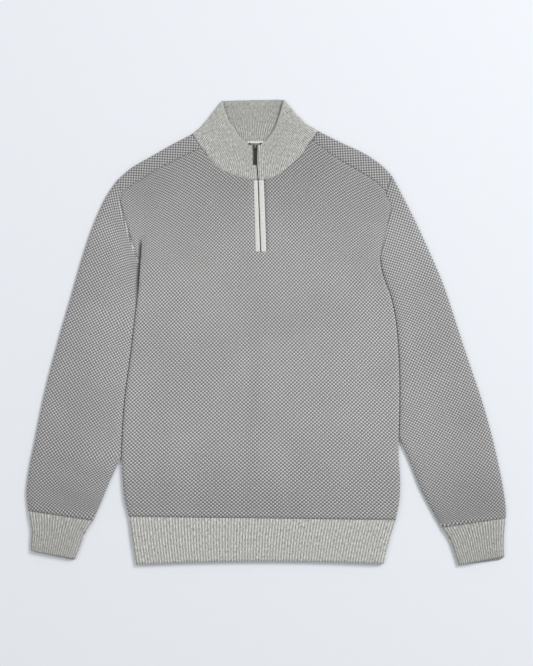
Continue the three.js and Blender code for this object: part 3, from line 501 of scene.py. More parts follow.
def knit_material():
    """Two-tone bird's-eye knit: light and dark stitches by turns, both ways."""
    nodes = Nodes("birdseye_knit", 0.95)
    fuzz(nodes)
    where, across, up = nodes.grain()
    wander = nodes.noise(where, 160.0, 1.0)
    cell = 1000 / STITCH
    u = nodes.math("ADD", nodes.math("MULTIPLY", across, cell), nodes.math("MULTIPLY", wander, 0.35))
    v = nodes.math("ADD", nodes.math("MULTIPLY", up, cell), nodes.math("MULTIPLY", wander, -0.3))
    # Each stitch is a V, so its two halves lean
    lean = nodes.math("PINGPONG", u, 0.5)
    v = nodes.math("ADD", v, nodes.math("MULTIPLY", lean, 0.35))
    wave_u = nodes.math("SINE", nodes.math("MULTIPLY", u, math.pi))
    wave_v = nodes.math("SINE", nodes.math("MULTIPLY", v, math.pi))
    both = nodes.math("MULTIPLY", wave_u, wave_v)
    light = nodes.smooth(both, -0.22, 0.3)
    fibre = nodes.noise(where, 1400.0, 2.0, 0.7)
    slow = nodes.noise(nodes.place(), 9.0, 2.0)
    dark_yarn = nodes.blend(nodes.smooth(fibre, 0.3, 0.75), grey(0.13), grey(0.25, (1, 1, 0.98)))
    strand = nodes.smooth(fibre, 0.3, 0.75)
    light_yarn = nodes.blend(strand, grey(0.5, (1, 1, 0.98)), grey(0.74, (1, 1, 0.98)))
    colour = nodes.blend(light, dark_yarn, light_yarn)
    tone = nodes.blend(nodes.smooth(slow, 0.35, 0.65), grey(0.94), grey(1.0))
    # Painted shade: the knit's colour is darker towards the shoulders, the hem and the sleeves
    x, y, _ = nodes.plan()
    shoulders = nodes.smooth(y, 130.0, 300.0, 0.0, 0.2)
    foot = nodes.smooth(y, -300.0, -170.0, 0.14, 0.0)
    arms = nodes.smooth(nodes.math("ABSOLUTE", x), 225.0, 330.0, 0.0, 0.1)
    painted_shade = nodes.math("SUBTRACT", 1.0, nodes.math("ADD", nodes.math("ADD", shoulders, foot), arms))
    # The underarm fold's painted shade darkens the knit's colour here too
    tone = nodes.blend(1.0, tone, nodes.product(painted_shade, underarm_shade(nodes, x, y)), "MULTIPLY")
    nodes.colour(nodes.blend(1.0, colour, tone, "MULTIPLY"))
    stitch = nodes.math("POWER", nodes.math("ABSOLUTE", both), 0.45)
    height = nodes.math("ADD", stitch, nodes.math("MULTIPLY", fibre, 0.25))
    nodes.bump(height, 0.0011, 0.8)
    return nodes.material


def rib_material(name, pitch, level, inside=1.0, tint=(1.0, 1.0, 0.945)):
    """Heathered rib: short flecks along the ribs, which are paler on their crests; the darker grooves are
    partly the purl's own tone and partly painted shade.
    """
    nodes = Nodes(name, 0.95)
    fuzz(nodes)
    fleck_at, across, up = nodes.grain((1.0, 0.3))
    fleck = nodes.noise(fleck_at, 620.0, 2.0, 0.65)
    fibre_at = nodes.grain((1.0, 0.6))[0]
    fibre = nodes.noise(fibre_at, 1700.0, 2.0, 0.6)
    u = nodes.math("MULTIPLY", across, 1000 / pitch)
    crest = nodes.math("COSINE", nodes.math("MULTIPLY", u, 2 * math.pi))
    share = nodes.smooth(crest, -0.9, 0.7, 0.25, 1.0)
    mottle = nodes.smooth(fleck, 0.36, 0.62)
    base = nodes.blend(mottle, grey(0.46 * level, tint), grey(0.84 * level, tint))
    # Darker grooves between the ribs: partly the purl stitches' own tone, partly painted shade in the
    # hollows
    groove_tone_and_shade = nodes.blend(share, grey(0.42), grey(1.0))
    shaded = nodes.blend(1.0, base, groove_tone_and_shade, "MULTIPLY")
    thread = nodes.blend(nodes.smooth(fibre, 0.3, 0.7), grey(0.88), grey(1.06))
    # Painted shade: the hollow of the collar is darker than its outside
    hollow_shade = nodes.smooth(nodes.plan()[2], 0.0035, 0.0055, inside, 1.0)
    shaded = nodes.blend(1.0, shaded, nodes.product(hollow_shade), "MULTIPLY")
    nodes.colour(nodes.blend(1.0, shaded, thread, "MULTIPLY"))
    # Small stitches run along each rib as leaning Vs
    lean = nodes.math("PINGPONG", nodes.math("ADD", u, 0.5), 0.5)
    v = nodes.math("ADD", nodes.math("MULTIPLY", up, 1000 / 2.4), nodes.math("MULTIPLY", lean, 0.7))
    stitch = nodes.math("ABSOLUTE", nodes.math("SINE", nodes.math("MULTIPLY", v, math.pi)))
    height = nodes.math("ADD", nodes.math("MULTIPLY", stitch, share), nodes.math("MULTIPLY", fibre, 0.5))
    nodes.bump(height, 0.0007, 0.7)
    return nodes.material


def band_material():
    nodes = Nodes("band_knit", 0.9)
    fuzz(nodes)
    fleck_at, across, up = nodes.grain((1.0, 0.5))
    fleck = nodes.noise(fleck_at, 700.0, 2.0, 0.6)
    mottle = nodes.smooth(fleck, 0.3, 0.7)
    nodes.colour(nodes.blend(mottle, grey(0.56, (1, 1, 0.95)), grey(0.73, (1, 1, 0.96))))
    u = nodes.math("MULTIPLY", across, 1000 / 2.0)
    lean = nodes.math("PINGPONG", u, 0.5)
    v = nodes.math("ADD", nodes.math("MULTIPLY", up, 1000 / 2.0), lean)
    wale = nodes.math("ABSOLUTE", nodes.math("SINE", nodes.math("MULTIPLY", u, math.pi)))
    course = nodes.math("ABSOLUTE", nodes.math("SINE", nodes.math("MULTIPLY", v, math.pi)))
    height = nodes.math("ADD", nodes.math("MULTIPLY", wale, course), nodes.math("MULTIPLY", fleck, 0.4))
    nodes.bump(height, 0.0004, 0.5)
    return nodes.material


def plain_material(name, level, roughness, metallic=0.0, tint=(1, 1, 1), scale=900.0, bump=0.00008):
    """Moulded plastic or cast metal: a little uneven in tone and in its surface."""
    nodes = Nodes(name, roughness, metallic)
    fine = nodes.noise(nodes.place(), scale, 3.0)
    slow = nodes.noise(nodes.place(), scale / 12, 2.0)
    tone = nodes.math("ADD", nodes.math("MULTIPLY", fine, 0.5), nodes.math("MULTIPLY", slow, 0.5))
    share = nodes.smooth(tone, 0.35, 0.65)
    nodes.colour(nodes.blend(share, grey(level * 0.8, tint), grey(level * 1.25, tint)))
    nodes.bump(fine, bump, 0.6)
    return nodes.material


def woven_material(name, level, pitch, tint=(1, 1, 1)):
    """Fine woven tape, its threads crossing at a small pitch."""
    nodes = Nodes(name, 0.8)
    split = nodes.add("ShaderNodeSeparateXYZ")
    place = nodes.place()
    nodes.link(place, split.inputs[0])
    waves = [
        nodes.math("SINE", nodes.math("MULTIPLY", split.outputs[k], 2000 * math.pi / pitch))
        for k in range(2)
    ]
    cross = nodes.math("MULTIPLY", *waves)
    fine = nodes.noise(place, 1200.0)
    tone = nodes.math("ADD", nodes.math("MULTIPLY", cross, 0.2), fine)
    nodes.colour(nodes.blend(nodes.smooth(tone, 0.2, 0.8), grey(level * 0.85, tint), grey(level, tint)))
    nodes.bump(cross, 0.0002, 0.5)
    return nodes.material


def floor_material():
    nodes = Nodes("pale_floor", 0.9)
    nodes.shader.inputs["Specular IOR Level"].default_value = 0.0
    fine = nodes.noise(nodes.place(), 40.0, 2.0)
    nodes.colour(nodes.blend(fine, (0.75, 0.775, 0.81, 1), (0.76, 0.785, 0.82, 1)))
    return nodes.material


KNIT_CLOTH = knit_material()
HEM_RIB = rib_material("hem_rib", HEM_PITCH, 0.9)
# The cuffs take the hem's rib at a lower level: painted shade
CUFF_RIB = rib_material("cuff_rib", HEM_PITCH, 0.75)
# The last number is the painted shade in the collar's hollow
COLLAR_RIB = rib_material("collar_rib", COLLAR_PITCH, 0.87, 0.89)
BAND_CLOTH = band_material()
COIL_PLASTIC = plain_material("coil_plastic", 0.03, 0.5)
SLIDER_METAL = plain_material("slider_metal", 0.3, 0.32, 0.9)
PULL_PLASTIC = plain_material("pull_plastic", 0.012, 0.42)
LABEL_TAPE = woven_material("label_tape", 0.86, 0.8, (0.98, 0.97, 1.0))
COIL_TAPE = woven_material("coil_tape", 0.03, 0.9)
THREAD = plain_material("seam_thread", 0.6, 0.9, tint=(1, 1, 0.95), scale=1500.0, bump=0.0002)

# Body

BODY_STEPS = roll_steps(REACH)
ROLLS = len(BODY_STEPS)
HOLE_LINE = {side: spline(line) for side, line in ARMHOLE.items()}
INSIDE = {"left": SEAM / 2, "right": -SEAM / 2}


def body_grain(points):
    """Yarn plan of the front and back: wales fan out downwards, and near the shoulders the
    courses are pressed together and turn down with the slope."""
    x, y = points[..., 0], points[..., 1]
    high = np.clip(y - 110, 0, None) / 100
    turn = 0.0011 * high * np.clip(np.abs(x), 0, 190) ** 2
    return np.stack([x * (1 + 0.00048 * np.clip(y, None, 120)), y + turn], axis=-1)


def panel(top, low_share, rise, left_end, right_end):
    """Plan of a body panel, from the hem seam up. top is its upper edge, low_share gives the
    middle columns' places between the rolls, and rise the shares of the way up from the
    underarms for each upper row and column. Returns the plan, the distance in from the
    folded sides, and the way in from them."""
    rows = np.linspace(len(SIDE) - 1, 0, 84)
    left, right = curve(SIDE[:, :2], rows), curve(SIDE[:, 2:], rows)
    left[:, 0] += SEAM / 2
    right[:, 0] -= SEAM / 2
    width = np.linalg.norm(right - left, axis=1)[:, None]
    middle = mix(REACH / width, 1 - REACH / width, low_share[None, :])
    share = np.concatenate([BODY_STEPS / width, middle, 1 - BODY_STEPS[::-1] / width], axis=1)
    lower = left[:, None] * (1 - share[..., None]) + right[:, None] * share[..., None]
    inwards = np.minimum(share, 1 - share) * width
    way = np.zeros(inwards.shape)
    way[:, :ROLLS] = 1
    way[:, -ROLLS:] = -1
    base = lower[-1]
    upper = base + (top - base) * rise[..., None]
    for side, columns, steps, end in (
        ("left", slice(0, ROLLS), BODY_STEPS, left_end),
        ("right", slice(-ROLLS, None), BODY_STEPS[::-1], right_end),
    ):
        line = HOLE_LINE[side]
        length = length_of(line)
        share = rise[:, columns]
        edge = along(line, 1 - share * (1 - end / length))
        edge[..., 0] += INSIDE[side]
        corner, next_one = (top[0], top[ROLLS - 1]) if side == "left" else (top[-1], top[-ROLLS])
        run = unit(next_one - corner)
        level = np.array([1.0 if side == "left" else -1.0, 0.0])
        lean = unit(level + (run - level) * share[..., None])
        upper[:, columns] = edge + lean * steps[None, :, None]
    near_left = np.linalg.norm(upper - base[0], axis=-1)
    near_right = np.linalg.norm(upper - base[-1], axis=-1)
    plan = np.concatenate([lower, upper])
    inwards = np.concatenate([inwards, np.minimum(near_left, near_right)])
    way = np.concatenate([way, np.zeros(rise.shape)])
    return plan, inwards, way, len(rows)


def shoulder_line(line, count):
    """A shoulder's edge from the armhole: a point at each roll step, then count more."""
    fine = spline(line)
    length = length_of(fine)
    shares = np.concatenate([BODY_STEPS / length, np.linspace(REACH / length, 1, count + 1)[1:]])
    return along(fine, shares)


def body_seams():
    shoulders = [spline(line[:, 2:]) for line in (SHOULDER_LEFT, SHOULDER_RIGHT)]
    neck = [spline(NECK_LEFT), spline(NECK_RIGHT)]
    return [HOLE_LINE["left"], HOLE_LINE["right"], *shoulders, SIDE[-1:].reshape(2, 2), *neck]


def front():
    left, right = shoulder_line(SHOULDER_LEFT[:, 2:], 20), shoulder_line(SHOULDER_RIGHT[:, 2:], 20)
    neck_left, neck_right = (along(spline(line), np.linspace(0, 1, 18)) for line in (NECK_LEFT, NECK_RIGHT))
    gap = np.linspace(0, 1, 6)[1:-1, None]
    between = neck_left[-1] * (1 - gap) + neck_right[-1] * gap
    top = np.concatenate([left, neck_left, between, neck_right[::-1], right[::-1]])
    top[:, 1] -= SEAM / 2
    top[0, 0] += SEAM / 2
    top[-1, 0] -= SEAM / 2
    slit_left = len(left) + len(neck_left) - 1
    slit_right = slit_left + len(between) + 1
    start, width = SIDE[0, 0] + REACH, SIDE[0, 2] - SIDE[0, 0] - 2 * REACH
    low_left, low_right = (SLIT_LOW["left"] - start) / width, (SLIT_LOW["right"] - start) / width
    x = top[:, 0]
    low = np.where(
        np.arange(len(top)) <= slit_left,
        low_left * (x - x[ROLLS - 1]) / (x[slit_left] - x[ROLLS - 1]),
        mix(low_right, 1, (x - x[slit_right]) / (x[-ROLLS] - x[slit_right])),
    )
    inside = slice(slit_left + 1, slit_right)
    low[inside] = mix(low_left, low_right, gap[:, 0])
    foot = (SLIT_FOOT - SLIT_LOW["y"]) / (250 - SLIT_LOW["y"])
    shares = np.concatenate([np.linspace(0, foot, 4)[1:], np.linspace(foot, 1, 30)[1:]])
    rise = np.repeat(shares[:, None], len(top), axis=1)
    ends = [np.linalg.norm(line[0, 2:] - line[0, :2]) for line in (SHOULDER_LEFT, SHOULDER_RIGHT)]
    plan, inwards, way, low_rows = panel(top, low[ROLLS:-ROLLS], rise, *ends)
    flat = np.clip(inwards / REACH, 0, 1)
    lift = creases(plan, FRONT_CREASES) * flat + SEAM / 2
    drop = seam_drop(plan, body_seams())
    slit_line = np.array([(SLIT_LOW["left"], SLIT_LOW["y"]), (-21.5, 250)])
    slit_other = np.array([(SLIT_LOW["right"], SLIT_LOW["y"]), (-3.5, 250)])
    above = np.clip((plan[..., 1] - SLIT_FOOT + 4) / 4, 0, 1)
    drop += seam_drop(plan, [slit_line, slit_other], 0.9, 2.0) * above
    outer = outer_height(1, BODY_TOP, inwards, REACH) + lift - np.minimum(drop, 1.3) * flat
    step = np.where(way == 0, inwards, inner_step(inwards, KNIT, REACH))
    inner = plan.copy()
    inner[..., 0] += way * (step - inwards)
    behind = inner_height(1, BODY_TOP, KNIT, step, REACH) + np.maximum(lift, -DEEPEST)
    there = np.ones((plan.shape[0] - 1, len(top) - 1), bool)
    there[low_rows + 2:, slit_left:slit_right] = False
    return shell(
        "front_knit", solid(plan, outer), solid(inner, behind), body_grain(plan),
        KNIT_CLOTH, ["front"], there=there,
    )


def back():
    fold = [shoulder_line(line[:, :2], 20) for line in (SHOULDER_LEFT, SHOULDER_RIGHT)]
    seam = [shoulder_line(line[:, 2:], 20) for line in (SHOULDER_LEFT, SHOULDER_RIGHT)]
    neck = along(spline(NECK_BACK), np.linspace(0, 1, 40))
    neck[:, 1] -= SEAM
    top = np.concatenate([fold[0], neck, fold[1][::-1]])
    ends = np.concatenate([seam[0], neck, seam[1][::-1]])
    for line in (top, ends):
        line[0, 0] += SEAM / 2
        line[-1, 0] -= SEAM / 2
    count, shoulder = len(top), len(fold[0])
    columns = np.arange(count)
    is_shoulder = (columns < shoulder) | (columns >= count - shoulder)
    x = top[:, 0]
    low = (x - x[ROLLS - 1]) / (x[-ROLLS] - x[ROLLS - 1])
    sides = curve(SIDE, np.array([0.0]))[0]
    base_x = mix(sides[0] + REACH, sides[2] - REACH, np.clip(low, 0, 1))
    height = np.hypot(top[:, 0] - base_x, top[:, 1] - mix(sides[1], sides[3], np.clip(low, 0, 1)))
    wide_steps = roll_steps(SHOULDER_REACH, 14)
    straight = np.linspace(0, 1, 26)[1:, None] * (1 - SHOULDER_REACH / height)[None, :]
    turning = 1 - wide_steps[::-1][1:, None] / height[None, :]
    rise = np.concatenate([straight, turning])
    plan, inwards, way, low_rows = panel(top, low[ROLLS:-ROLLS], rise, 0.0, 0.0)
    reach = np.where(is_shoulder, np.linalg.norm(ends - top, axis=1), 1)
    down = (ends - top) / reach[:, None]
    corners = [top[shoulder - 1], top[count - shoulder]]
    from_fold = np.full(plan.shape[:2], SHOULDER_REACH)
    upper = plan[low_rows:]
    to_own = np.linalg.norm(upper - top, axis=-1)
    to_corner = np.min([np.linalg.norm(upper - corner, axis=-1) for corner in corners], axis=0)
    from_fold[low_rows:] = np.where(is_shoulder[None, :], to_own, to_corner)
    inset = way * (inner_step(inwards, KNIT, REACH) - inwards)
    drop = np.where(is_shoulder[None, :], inner_step(from_fold, KNIT, SHOULDER_REACH) - from_fold, 0)
    # Where a side and a shoulder both turn, the nearer edge counts
    flat_side, flat_fold = rolled(inwards, REACH), rolled(from_fold, SHOULDER_REACH)
    bare_side = rolled(inwards + np.abs(inset) - KNIT, REACH - KNIT)
    bare_fold = rolled(from_fold + drop - KNIT, SHOULDER_REACH - KNIT)
    inner = plan + down[None] * drop[..., None]
    inner[..., 0] += inset
    lift = creases(plan, BACK_CREASES) * np.minimum(flat_side, flat_fold) ** 2
    seam_gap = np.where(way != 0, SEAM / 2 * (1 - rolled(inwards, REACH)), 0)
    middle = BODY_TOP / 2
    outer = middle - middle * np.minimum(flat_side, flat_fold) + lift - seam_gap
    behind = middle - (middle - KNIT) * np.minimum(bare_side, bare_fold) + lift - seam_gap
    # The part that wraps over the shoulders, from the fold to the seam
    steps = wide_steps[1:, None] * np.ones(count)
    rest = SHOULDER_REACH + np.linspace(0, 1, 6)[1:, None] * (reach - SHOULDER_REACH)[None, :]
    wrap_from = np.concatenate([steps, rest])
    wrap = top[None] + down[None] * wrap_from[..., None]
    wrap[-1, :, 1] += SEAM / 2
    wrap_drop = inner_step(wrap_from, KNIT, SHOULDER_REACH) - wrap_from
    wrap_inner = wrap + down[None] * wrap_drop[..., None]
    dip = np.minimum(seam_drop(wrap, body_seams()), 1.2) * np.clip(wrap_from / SHOULDER_REACH, 0, 1)
    wrap_outer = outer_height(1, BODY_TOP, wrap_from, SHOULDER_REACH) - dip
    wrap_behind = inner_height(1, BODY_TOP, KNIT, wrap_from + wrap_drop, SHOULDER_REACH)
    grain = body_grain(plan)
    turn = math.radians(42)
    hand = np.where(columns < count / 2, 1, -1)[None, :]
    wrap_grain = np.stack([
        wrap[..., 0] * math.cos(turn) + hand * wrap[..., 1] * math.sin(turn),
        wrap[..., 1] * math.cos(turn) - hand * wrap[..., 0] * math.sin(turn),
    ], axis=-1)
    there = np.ones((plan.shape[0] + wrap.shape[0] - 1, count - 1), bool)
    there[plan.shape[0] - 1:, shoulder - 1:count - shoulder] = False
    return shell(
        "back_knit",
        np.concatenate([solid(plan, outer), solid(wrap, wrap_outer)]),
        np.concatenate([solid(inner, behind), solid(wrap_inner, wrap_behind)]),
        np.concatenate([grain, wrap_grain]), KNIT_CLOTH, ["back"], there=there,
    )


# Sleeves, cuffs and hem


def tube(
    outer_edge, inner_edge, top, cloth, reach, middle,
    bend=None, shift=None, raise_top=None, raise_low=None,
):
    """A flattened tube: rings that go out over the top and back underneath. Returns its two
    grids, the plan of its top and the shares across it."""
    width = np.linalg.norm(inner_edge - outer_edge, axis=1)[:, None]
    steps = roll_steps(reach)
    inner_part = mix(reach / width, 1 - reach / width, np.linspace(0, 1, middle + 2)[None, 1:-1])
    share = np.concatenate([steps / width, inner_part, 1 - steps[::-1] / width], axis=1)

    def at(shares):
        points = outer_edge[:, None] * (1 - shares[..., None]) + inner_edge[:, None] * shares[..., None]
        return points if bend is None else points + bend(shares)

    inwards = np.minimum(share, 1 - share) * width
    inset = inner_step(inwards, cloth, reach)
    inner_share = np.where(share < 0.5, inset, width - inset) / width
    plan, inner_plan = at(share), at(inner_share)
    layers = []
    for side in (1, -1):
        moved = 0 if side > 0 or shift is None else shift(share, rolled(inwards, reach))
        outer = outer_height(side, top, inwards, reach)
        behind = inner_height(side, top, cloth, inset, reach)
        lift = raise_top if side > 0 else raise_low
        if lift is not None:
            height = lift(plan, inwards)
            outer = outer + height
            behind = behind + np.minimum(height, 0.6 * np.abs(height))
        layers.append((solid(plan + moved, outer), solid(inner_plan + moved, behind)))
    grids = [np.concatenate([layers[0][k], layers[1][k][:, -2:0:-1]], axis=1) for k in range(2)]
    return grids[0], grids[1], plan, share


def sleeve(side):
    away = -1 if side == "left" else 1
    outer_table, free = SLEEVE[side], SLEEVE_FREE[side]
    last = len(outer_table) - 1
    beside = last + 1 - len(free)
    rows = np.linspace(0, last, last * 8 + 1)
    outer_edge = curve(outer_table, rows)
    gap = away * np.interp(rows, [0, 1], [SEAM / 2, SLIT - SEAM / 2])
    columns = slice(0, 2) if side == "left" else slice(2, 4)
    body_side = curve(SIDE[:, columns], np.clip(rows, 0, beside - 1))
    body_side[:, 0] += gap
    free_line = np.vstack([body_side[rows <= beside - 1][-1], free])
    free_edge = curve(free_line, np.clip(rows - beside + 1, 0, None))
    inner_edge = np.where((rows <= beside - 1)[:, None], body_side, free_edge)
    outer_edge[:, 0] += np.interp(rows, [0, 1], [away * SEAM / 2, 0])
    outer_edge[-1, 1] += SEAM / 2
    inner_edge[-1, 1] += SEAM / 2
    line = HOLE_LINE[side]
    keep = np.interp(rows, *SLEEVE_BOW)[:, None, None]

    def bend(shares):
        chord = line[0] * (1 - shares[..., None]) + line[-1] * shares[..., None]
        return keep * (along(line, shares) - chord)

    cuff_line = CUFF[side][0].reshape(2, 2)

    def top_lift(plan, inwards):
        flat = np.clip(inwards / SLEEVE_REACH, 0, 1)
        return (creases(plan, SLEEVE_CREASES[side]) - seam_drop(plan, [line, cuff_line])) * flat

    def low_lift(plan, inwards):
        return creases(plan, UNDERSLEEVE_CREASES[side]) * np.clip(inwards / SLEEVE_REACH, 0, 1) ** 2

    outer, behind, plan, _ = tube(
        outer_edge, inner_edge, SLEEVE_TOP, KNIT, SLEEVE_REACH, 24, bend, None, top_lift, low_lift,
    )
    # The yarn follows the outer edge
    tangent = unit(np.gradient(outer_edge, axis=0))
    normal = np.stack([-tangent[:, 1], tangent[:, 0]], axis=1) * -away
    run = np.concatenate([[0], np.cumsum(np.linalg.norm(np.diff(outer_edge, axis=0), axis=1))])
    offset = plan - outer_edge[:, None]
    across = (offset * normal[:, None]).sum(-1)
    down = run[:, None] + (offset * tangent[:, None]).sum(-1)
    grain_top = np.stack([away * across, -down], axis=-1)
    grain_low = np.stack([-away * across, -down], axis=-1)
    grain = np.concatenate([grain_top, grain_low[:, -2:0:-1]], axis=1)
    return shell(f"sleeve_{side}_knit", outer, behind, grain, KNIT_CLOTH, [f"sleeve_{side}"], closed=True)


def rib_profile(turns):
    return (0.5 + 0.5 * np.cos(2 * math.pi * turns)) ** 0.7


def cuff(side):
    table = CUFF[side]
    rows = np.linspace(0, len(table) - 1, 16)
    edges = curve(table, rows)
    edges[0, [1, 3]] -= SEAM / 2
    outer_edge, inner_edge = edges[:, :2], edges[:, 2:]
    full = np.linalg.norm(inner_edge[0] - outer_edge[0])
    count = round(full / HEM_PITCH)
    run = unit(outer_edge[-1] - outer_edge[-2])
    weight = np.clip((rows - 2) / (len(table) - 3), 0, 1)[:, None, None]
    below = CUFF_BELOW[side]

    def shift(shares, flat):
        size = mix(below[0], below[1], shares) * flat
        return weight * size[..., None] * run

    seam = [table[0].reshape(2, 2)]

    def ribs(plan, inwards):
        width = np.linalg.norm(inner_edge - outer_edge, axis=1)[:, None]
        share = np.linalg.norm(plan - outer_edge[:, None], axis=-1) / width
        fade = np.clip(inwards / 3, 0.2, 1)
        return RIB_RISE * rib_profile(share * count) * fade - seam_drop(plan, seam, 1.0, 1.8) * fade

    outer, behind, _, share = tube(
        outer_edge, inner_edge, RIB_TOP, RIB, RIB_REACH, count * 8, None, shift, ribs, None,
    )
    u = share * count * HEM_PITCH
    v = np.repeat(np.linspace(0, 66, len(rows))[:, None], share.shape[1], axis=1)
    grain = np.stack([u, -v], axis=-1)
    grain = np.concatenate([grain, grain[:, -2:0:-1]], axis=1)
    return shell(f"cuff_{side}_rib", outer, behind, grain, CUFF_RIB, [f"cuff_{side}"], closed=True)


def hem(side, name, node):
    rows = np.linspace(0, len(HEM) - 1, 14)
    edges = curve(HEM, rows)
    edges[0, [1, 3]] -= SEAM
    left, right = edges[:, :2] + (SEAM / 2, 0), edges[:, 2:4] - (SEAM / 2, 0)
    width = np.linalg.norm(right - left, axis=1)[:, None]
    count = round((HEM[0, 2] - HEM[0, 0]) / HEM_PITCH)
    middle = count * (8 if side > 0 else 2)
    steps = roll_steps(RIB_REACH)
    inner_part = mix(RIB_REACH / width, 1 - RIB_REACH / width, np.linspace(0, 1, middle + 2)[None, 1:-1])
    share = np.concatenate([steps / width, inner_part, 1 - steps[::-1] / width], axis=1)
    plan = left[:, None] * (1 - share[..., None]) + right[:, None] * share[..., None]
    plan[..., 1] += edges[:, 4][:, None] * (1 - (2 * share - 1) ** 2)
    inwards = np.minimum(share, 1 - share) * width
    inset = inner_step(inwards, RIB, RIB_REACH)
    inner = plan.copy()
    inner[..., 0] += np.where(share < 0.5, inset - inwards, inwards - inset)
    gap = SEAM / 2 if side > 0 else -SEAM / 2 * (1 - rolled(inwards, RIB_REACH))
    outer = outer_height(side, RIB_TOP, inwards, RIB_REACH) + gap
    behind = inner_height(side, RIB_TOP, RIB, inset, RIB_REACH) + gap
    fade = np.clip(inwards / 3, 0.2, 1)
    if side > 0:
        outer += RIB_RISE * rib_profile(share * count) * fade
        outer -= seam_drop(plan, [SIDE[-1:].reshape(2, 2)], 1.0, 1.8) * fade
    u = share * count * HEM_PITCH
    v = np.repeat(np.linspace(0, 76, len(rows))[:, None], share.shape[1], axis=1)
    grain = np.stack([u, -v], axis=-1)
    return shell(name, solid(plan, outer), solid(inner, behind), grain, HEM_RIB, [node])


# Collar


def collar_section(table, fold_at_end, fold_at_start, heights):
    """One front or the back of the collar: its plan, and the turns of rib along it."""
    fine = spline(table)
    length = length_of(fine[:, :2])
    count = round(length / COLLAR_PITCH)
    turns = np.linspace(0, count, count * 8 + 1)
    line = along(fine, turns / count)
    base, top = line[:, :2], line[:, 2:]
    size = np.linalg.norm(top - base, axis=1)[None, :, None]
    start = COLLAR_FOOT / size
    plan = base + (top - base) * (start + heights[:, None, None] * (1 - start))
    for is_fold, column in ((fold_at_start, 0), (fold_at_end, -1)):
        if not is_fold:
            continue
        hand = "left" if base[column, 0] < 0 else "right"
        sign = 1 if hand == "left" else -1
        hollow = sign * np.interp(heights, COLLAR_HOLLOW["share"], COLLAR_HOLLOW[hand])
        rise = unit(top[column] - base[column])
        away = np.linalg.norm(base - base[column], axis=1)
        weight = np.clip(1 - away / 30, 0, 1)
        plan += hollow[:, None, None] * weight[None, :, None] * np.array([rise[1], -rise[0]])
    return plan, turns


def collar():
    heights = 1 - (1 - np.linspace(0, 1, 26)) ** 1.25
    left, left_turns = collar_section(COLLAR_LEFT, True, False, heights)
    rear, rear_turns = collar_section(COLLAR_BACK, True, True, heights)
    right, right_turns = collar_section(COLLAR_RIGHT, False, True, heights)
    folds = [left[:, -1], right[:, 0]]
    plan = np.concatenate([left, rear[:, 1:-1], right], axis=1)
    layer = np.concatenate([np.ones(left.shape[1]), -np.ones(rear.shape[1] - 2), np.ones(right.shape[1])])
    # Rib turns run on from section to section
    turns = np.concatenate([
        left_turns, left_turns[-1] + rear_turns[1:-1], left_turns[-1] + rear_turns[-1] + right_turns,
    ])
    distances = [np.linalg.norm(plan - fold[:, None], axis=-1) for fold in folds]
    inwards = np.minimum(*distances)
    nearest = np.where(distances[0] < distances[1], 0, 1)
    # The way in from each fold, along the middle of the folded collar
    ways = []
    for fold, sign in zip(folds, (1, -1)):
        rise = unit(np.gradient(fold, axis=0))
        ways.append(sign * np.stack([rise[:, 1], -rise[:, 0]], axis=1))
    inset = inner_step(inwards, RIB, RIB_REACH)
    way = np.where((nearest == 0)[..., None], ways[0][:, None], ways[1][:, None])
    inner = plan + way * (inset - inwards)[..., None]
    outer = outer_height(layer, RIB_TOP, inwards, RIB_REACH)
    behind = inner_height(layer, RIB_TOP, RIB, inset, RIB_REACH)
    crest = RIB_RISE * rib_profile(turns)[None, :] * np.clip(inwards / 3, 0.1, 1)
    up = heights[:, None]
    fade = mix(1.0, 0.35, np.clip((up - 0.72) / 0.28, 0, 1)) * np.clip(0.35 + up * 12, 0, 1)
    crest = crest * fade
    # The free edge is rounded, and the zip edges are plain for a few millimetres
    rim = 0.9 * (1 - rolled((1 - up) * 60, 4.0))
    zip_edge = np.minimum(turns - turns[0], turns[-1] - turns) * COLLAR_PITCH
    crest = crest * np.clip((zip_edge - 1.5) / 3, 0, 1)
    on_top = layer > 0
    outer = np.where(on_top, outer + crest - rim, outer)
    behind = np.where(on_top, behind + 0.3 * rim, behind + crest - rim)
    grain = np.stack(np.broadcast_arrays(turns * COLLAR_PITCH, up * 62), axis=-1)
    return shell("collar_rib", solid(plan, outer), solid(inner, behind), grain, COLLAR_RIB, ["collar"])


# Zip


def zip_x(y):
    return np.interp(y, ZIP_LINE[::-1, 1], ZIP_LINE[::-1, 0])


def band(side):
    y = np.linspace(SLIT_FOOT + SEAM, BAND["top"], 60)
    share = (y - SLIT_LOW["y"]) / (250 - SLIT_LOW["y"])
    edge = {
        "left": mix(SLIT_LOW["left"], NECK_LEFT[-1, 0], share) + SEAM,
        "right": mix(SLIT_LOW["right"], NECK_RIGHT[-1, 0], share) - SEAM,
    }[side]
    zip_edge = zip_x(y) + (-ZIP_GAP / 2 if side == "left" else ZIP_GAP / 2)
    across = np.linspace(0, 1, 13)
    x = edge[:, None] * (1 - across) + zip_edge[:, None] * across
    plan = np.stack([x, np.repeat(y[:, None], len(across), axis=1)], axis=-1)
    crown = 0.9 * np.abs(2 * across - 1) ** 4
    wave = 0.12 * np.sin(2 * math.pi * y / 3.1)[:, None] * np.sin(math.pi * across)[None]
    outer = BAND["high"] - crown[None] + wave
    grain = plan - plan[0, 0]
    return shell(
        f"band_{side}", solid(plan, outer), solid(plan, np.full(outer.shape, BAND["low"])), grain,
        BAND_CLOTH, [f"placket_{side}"],
    )


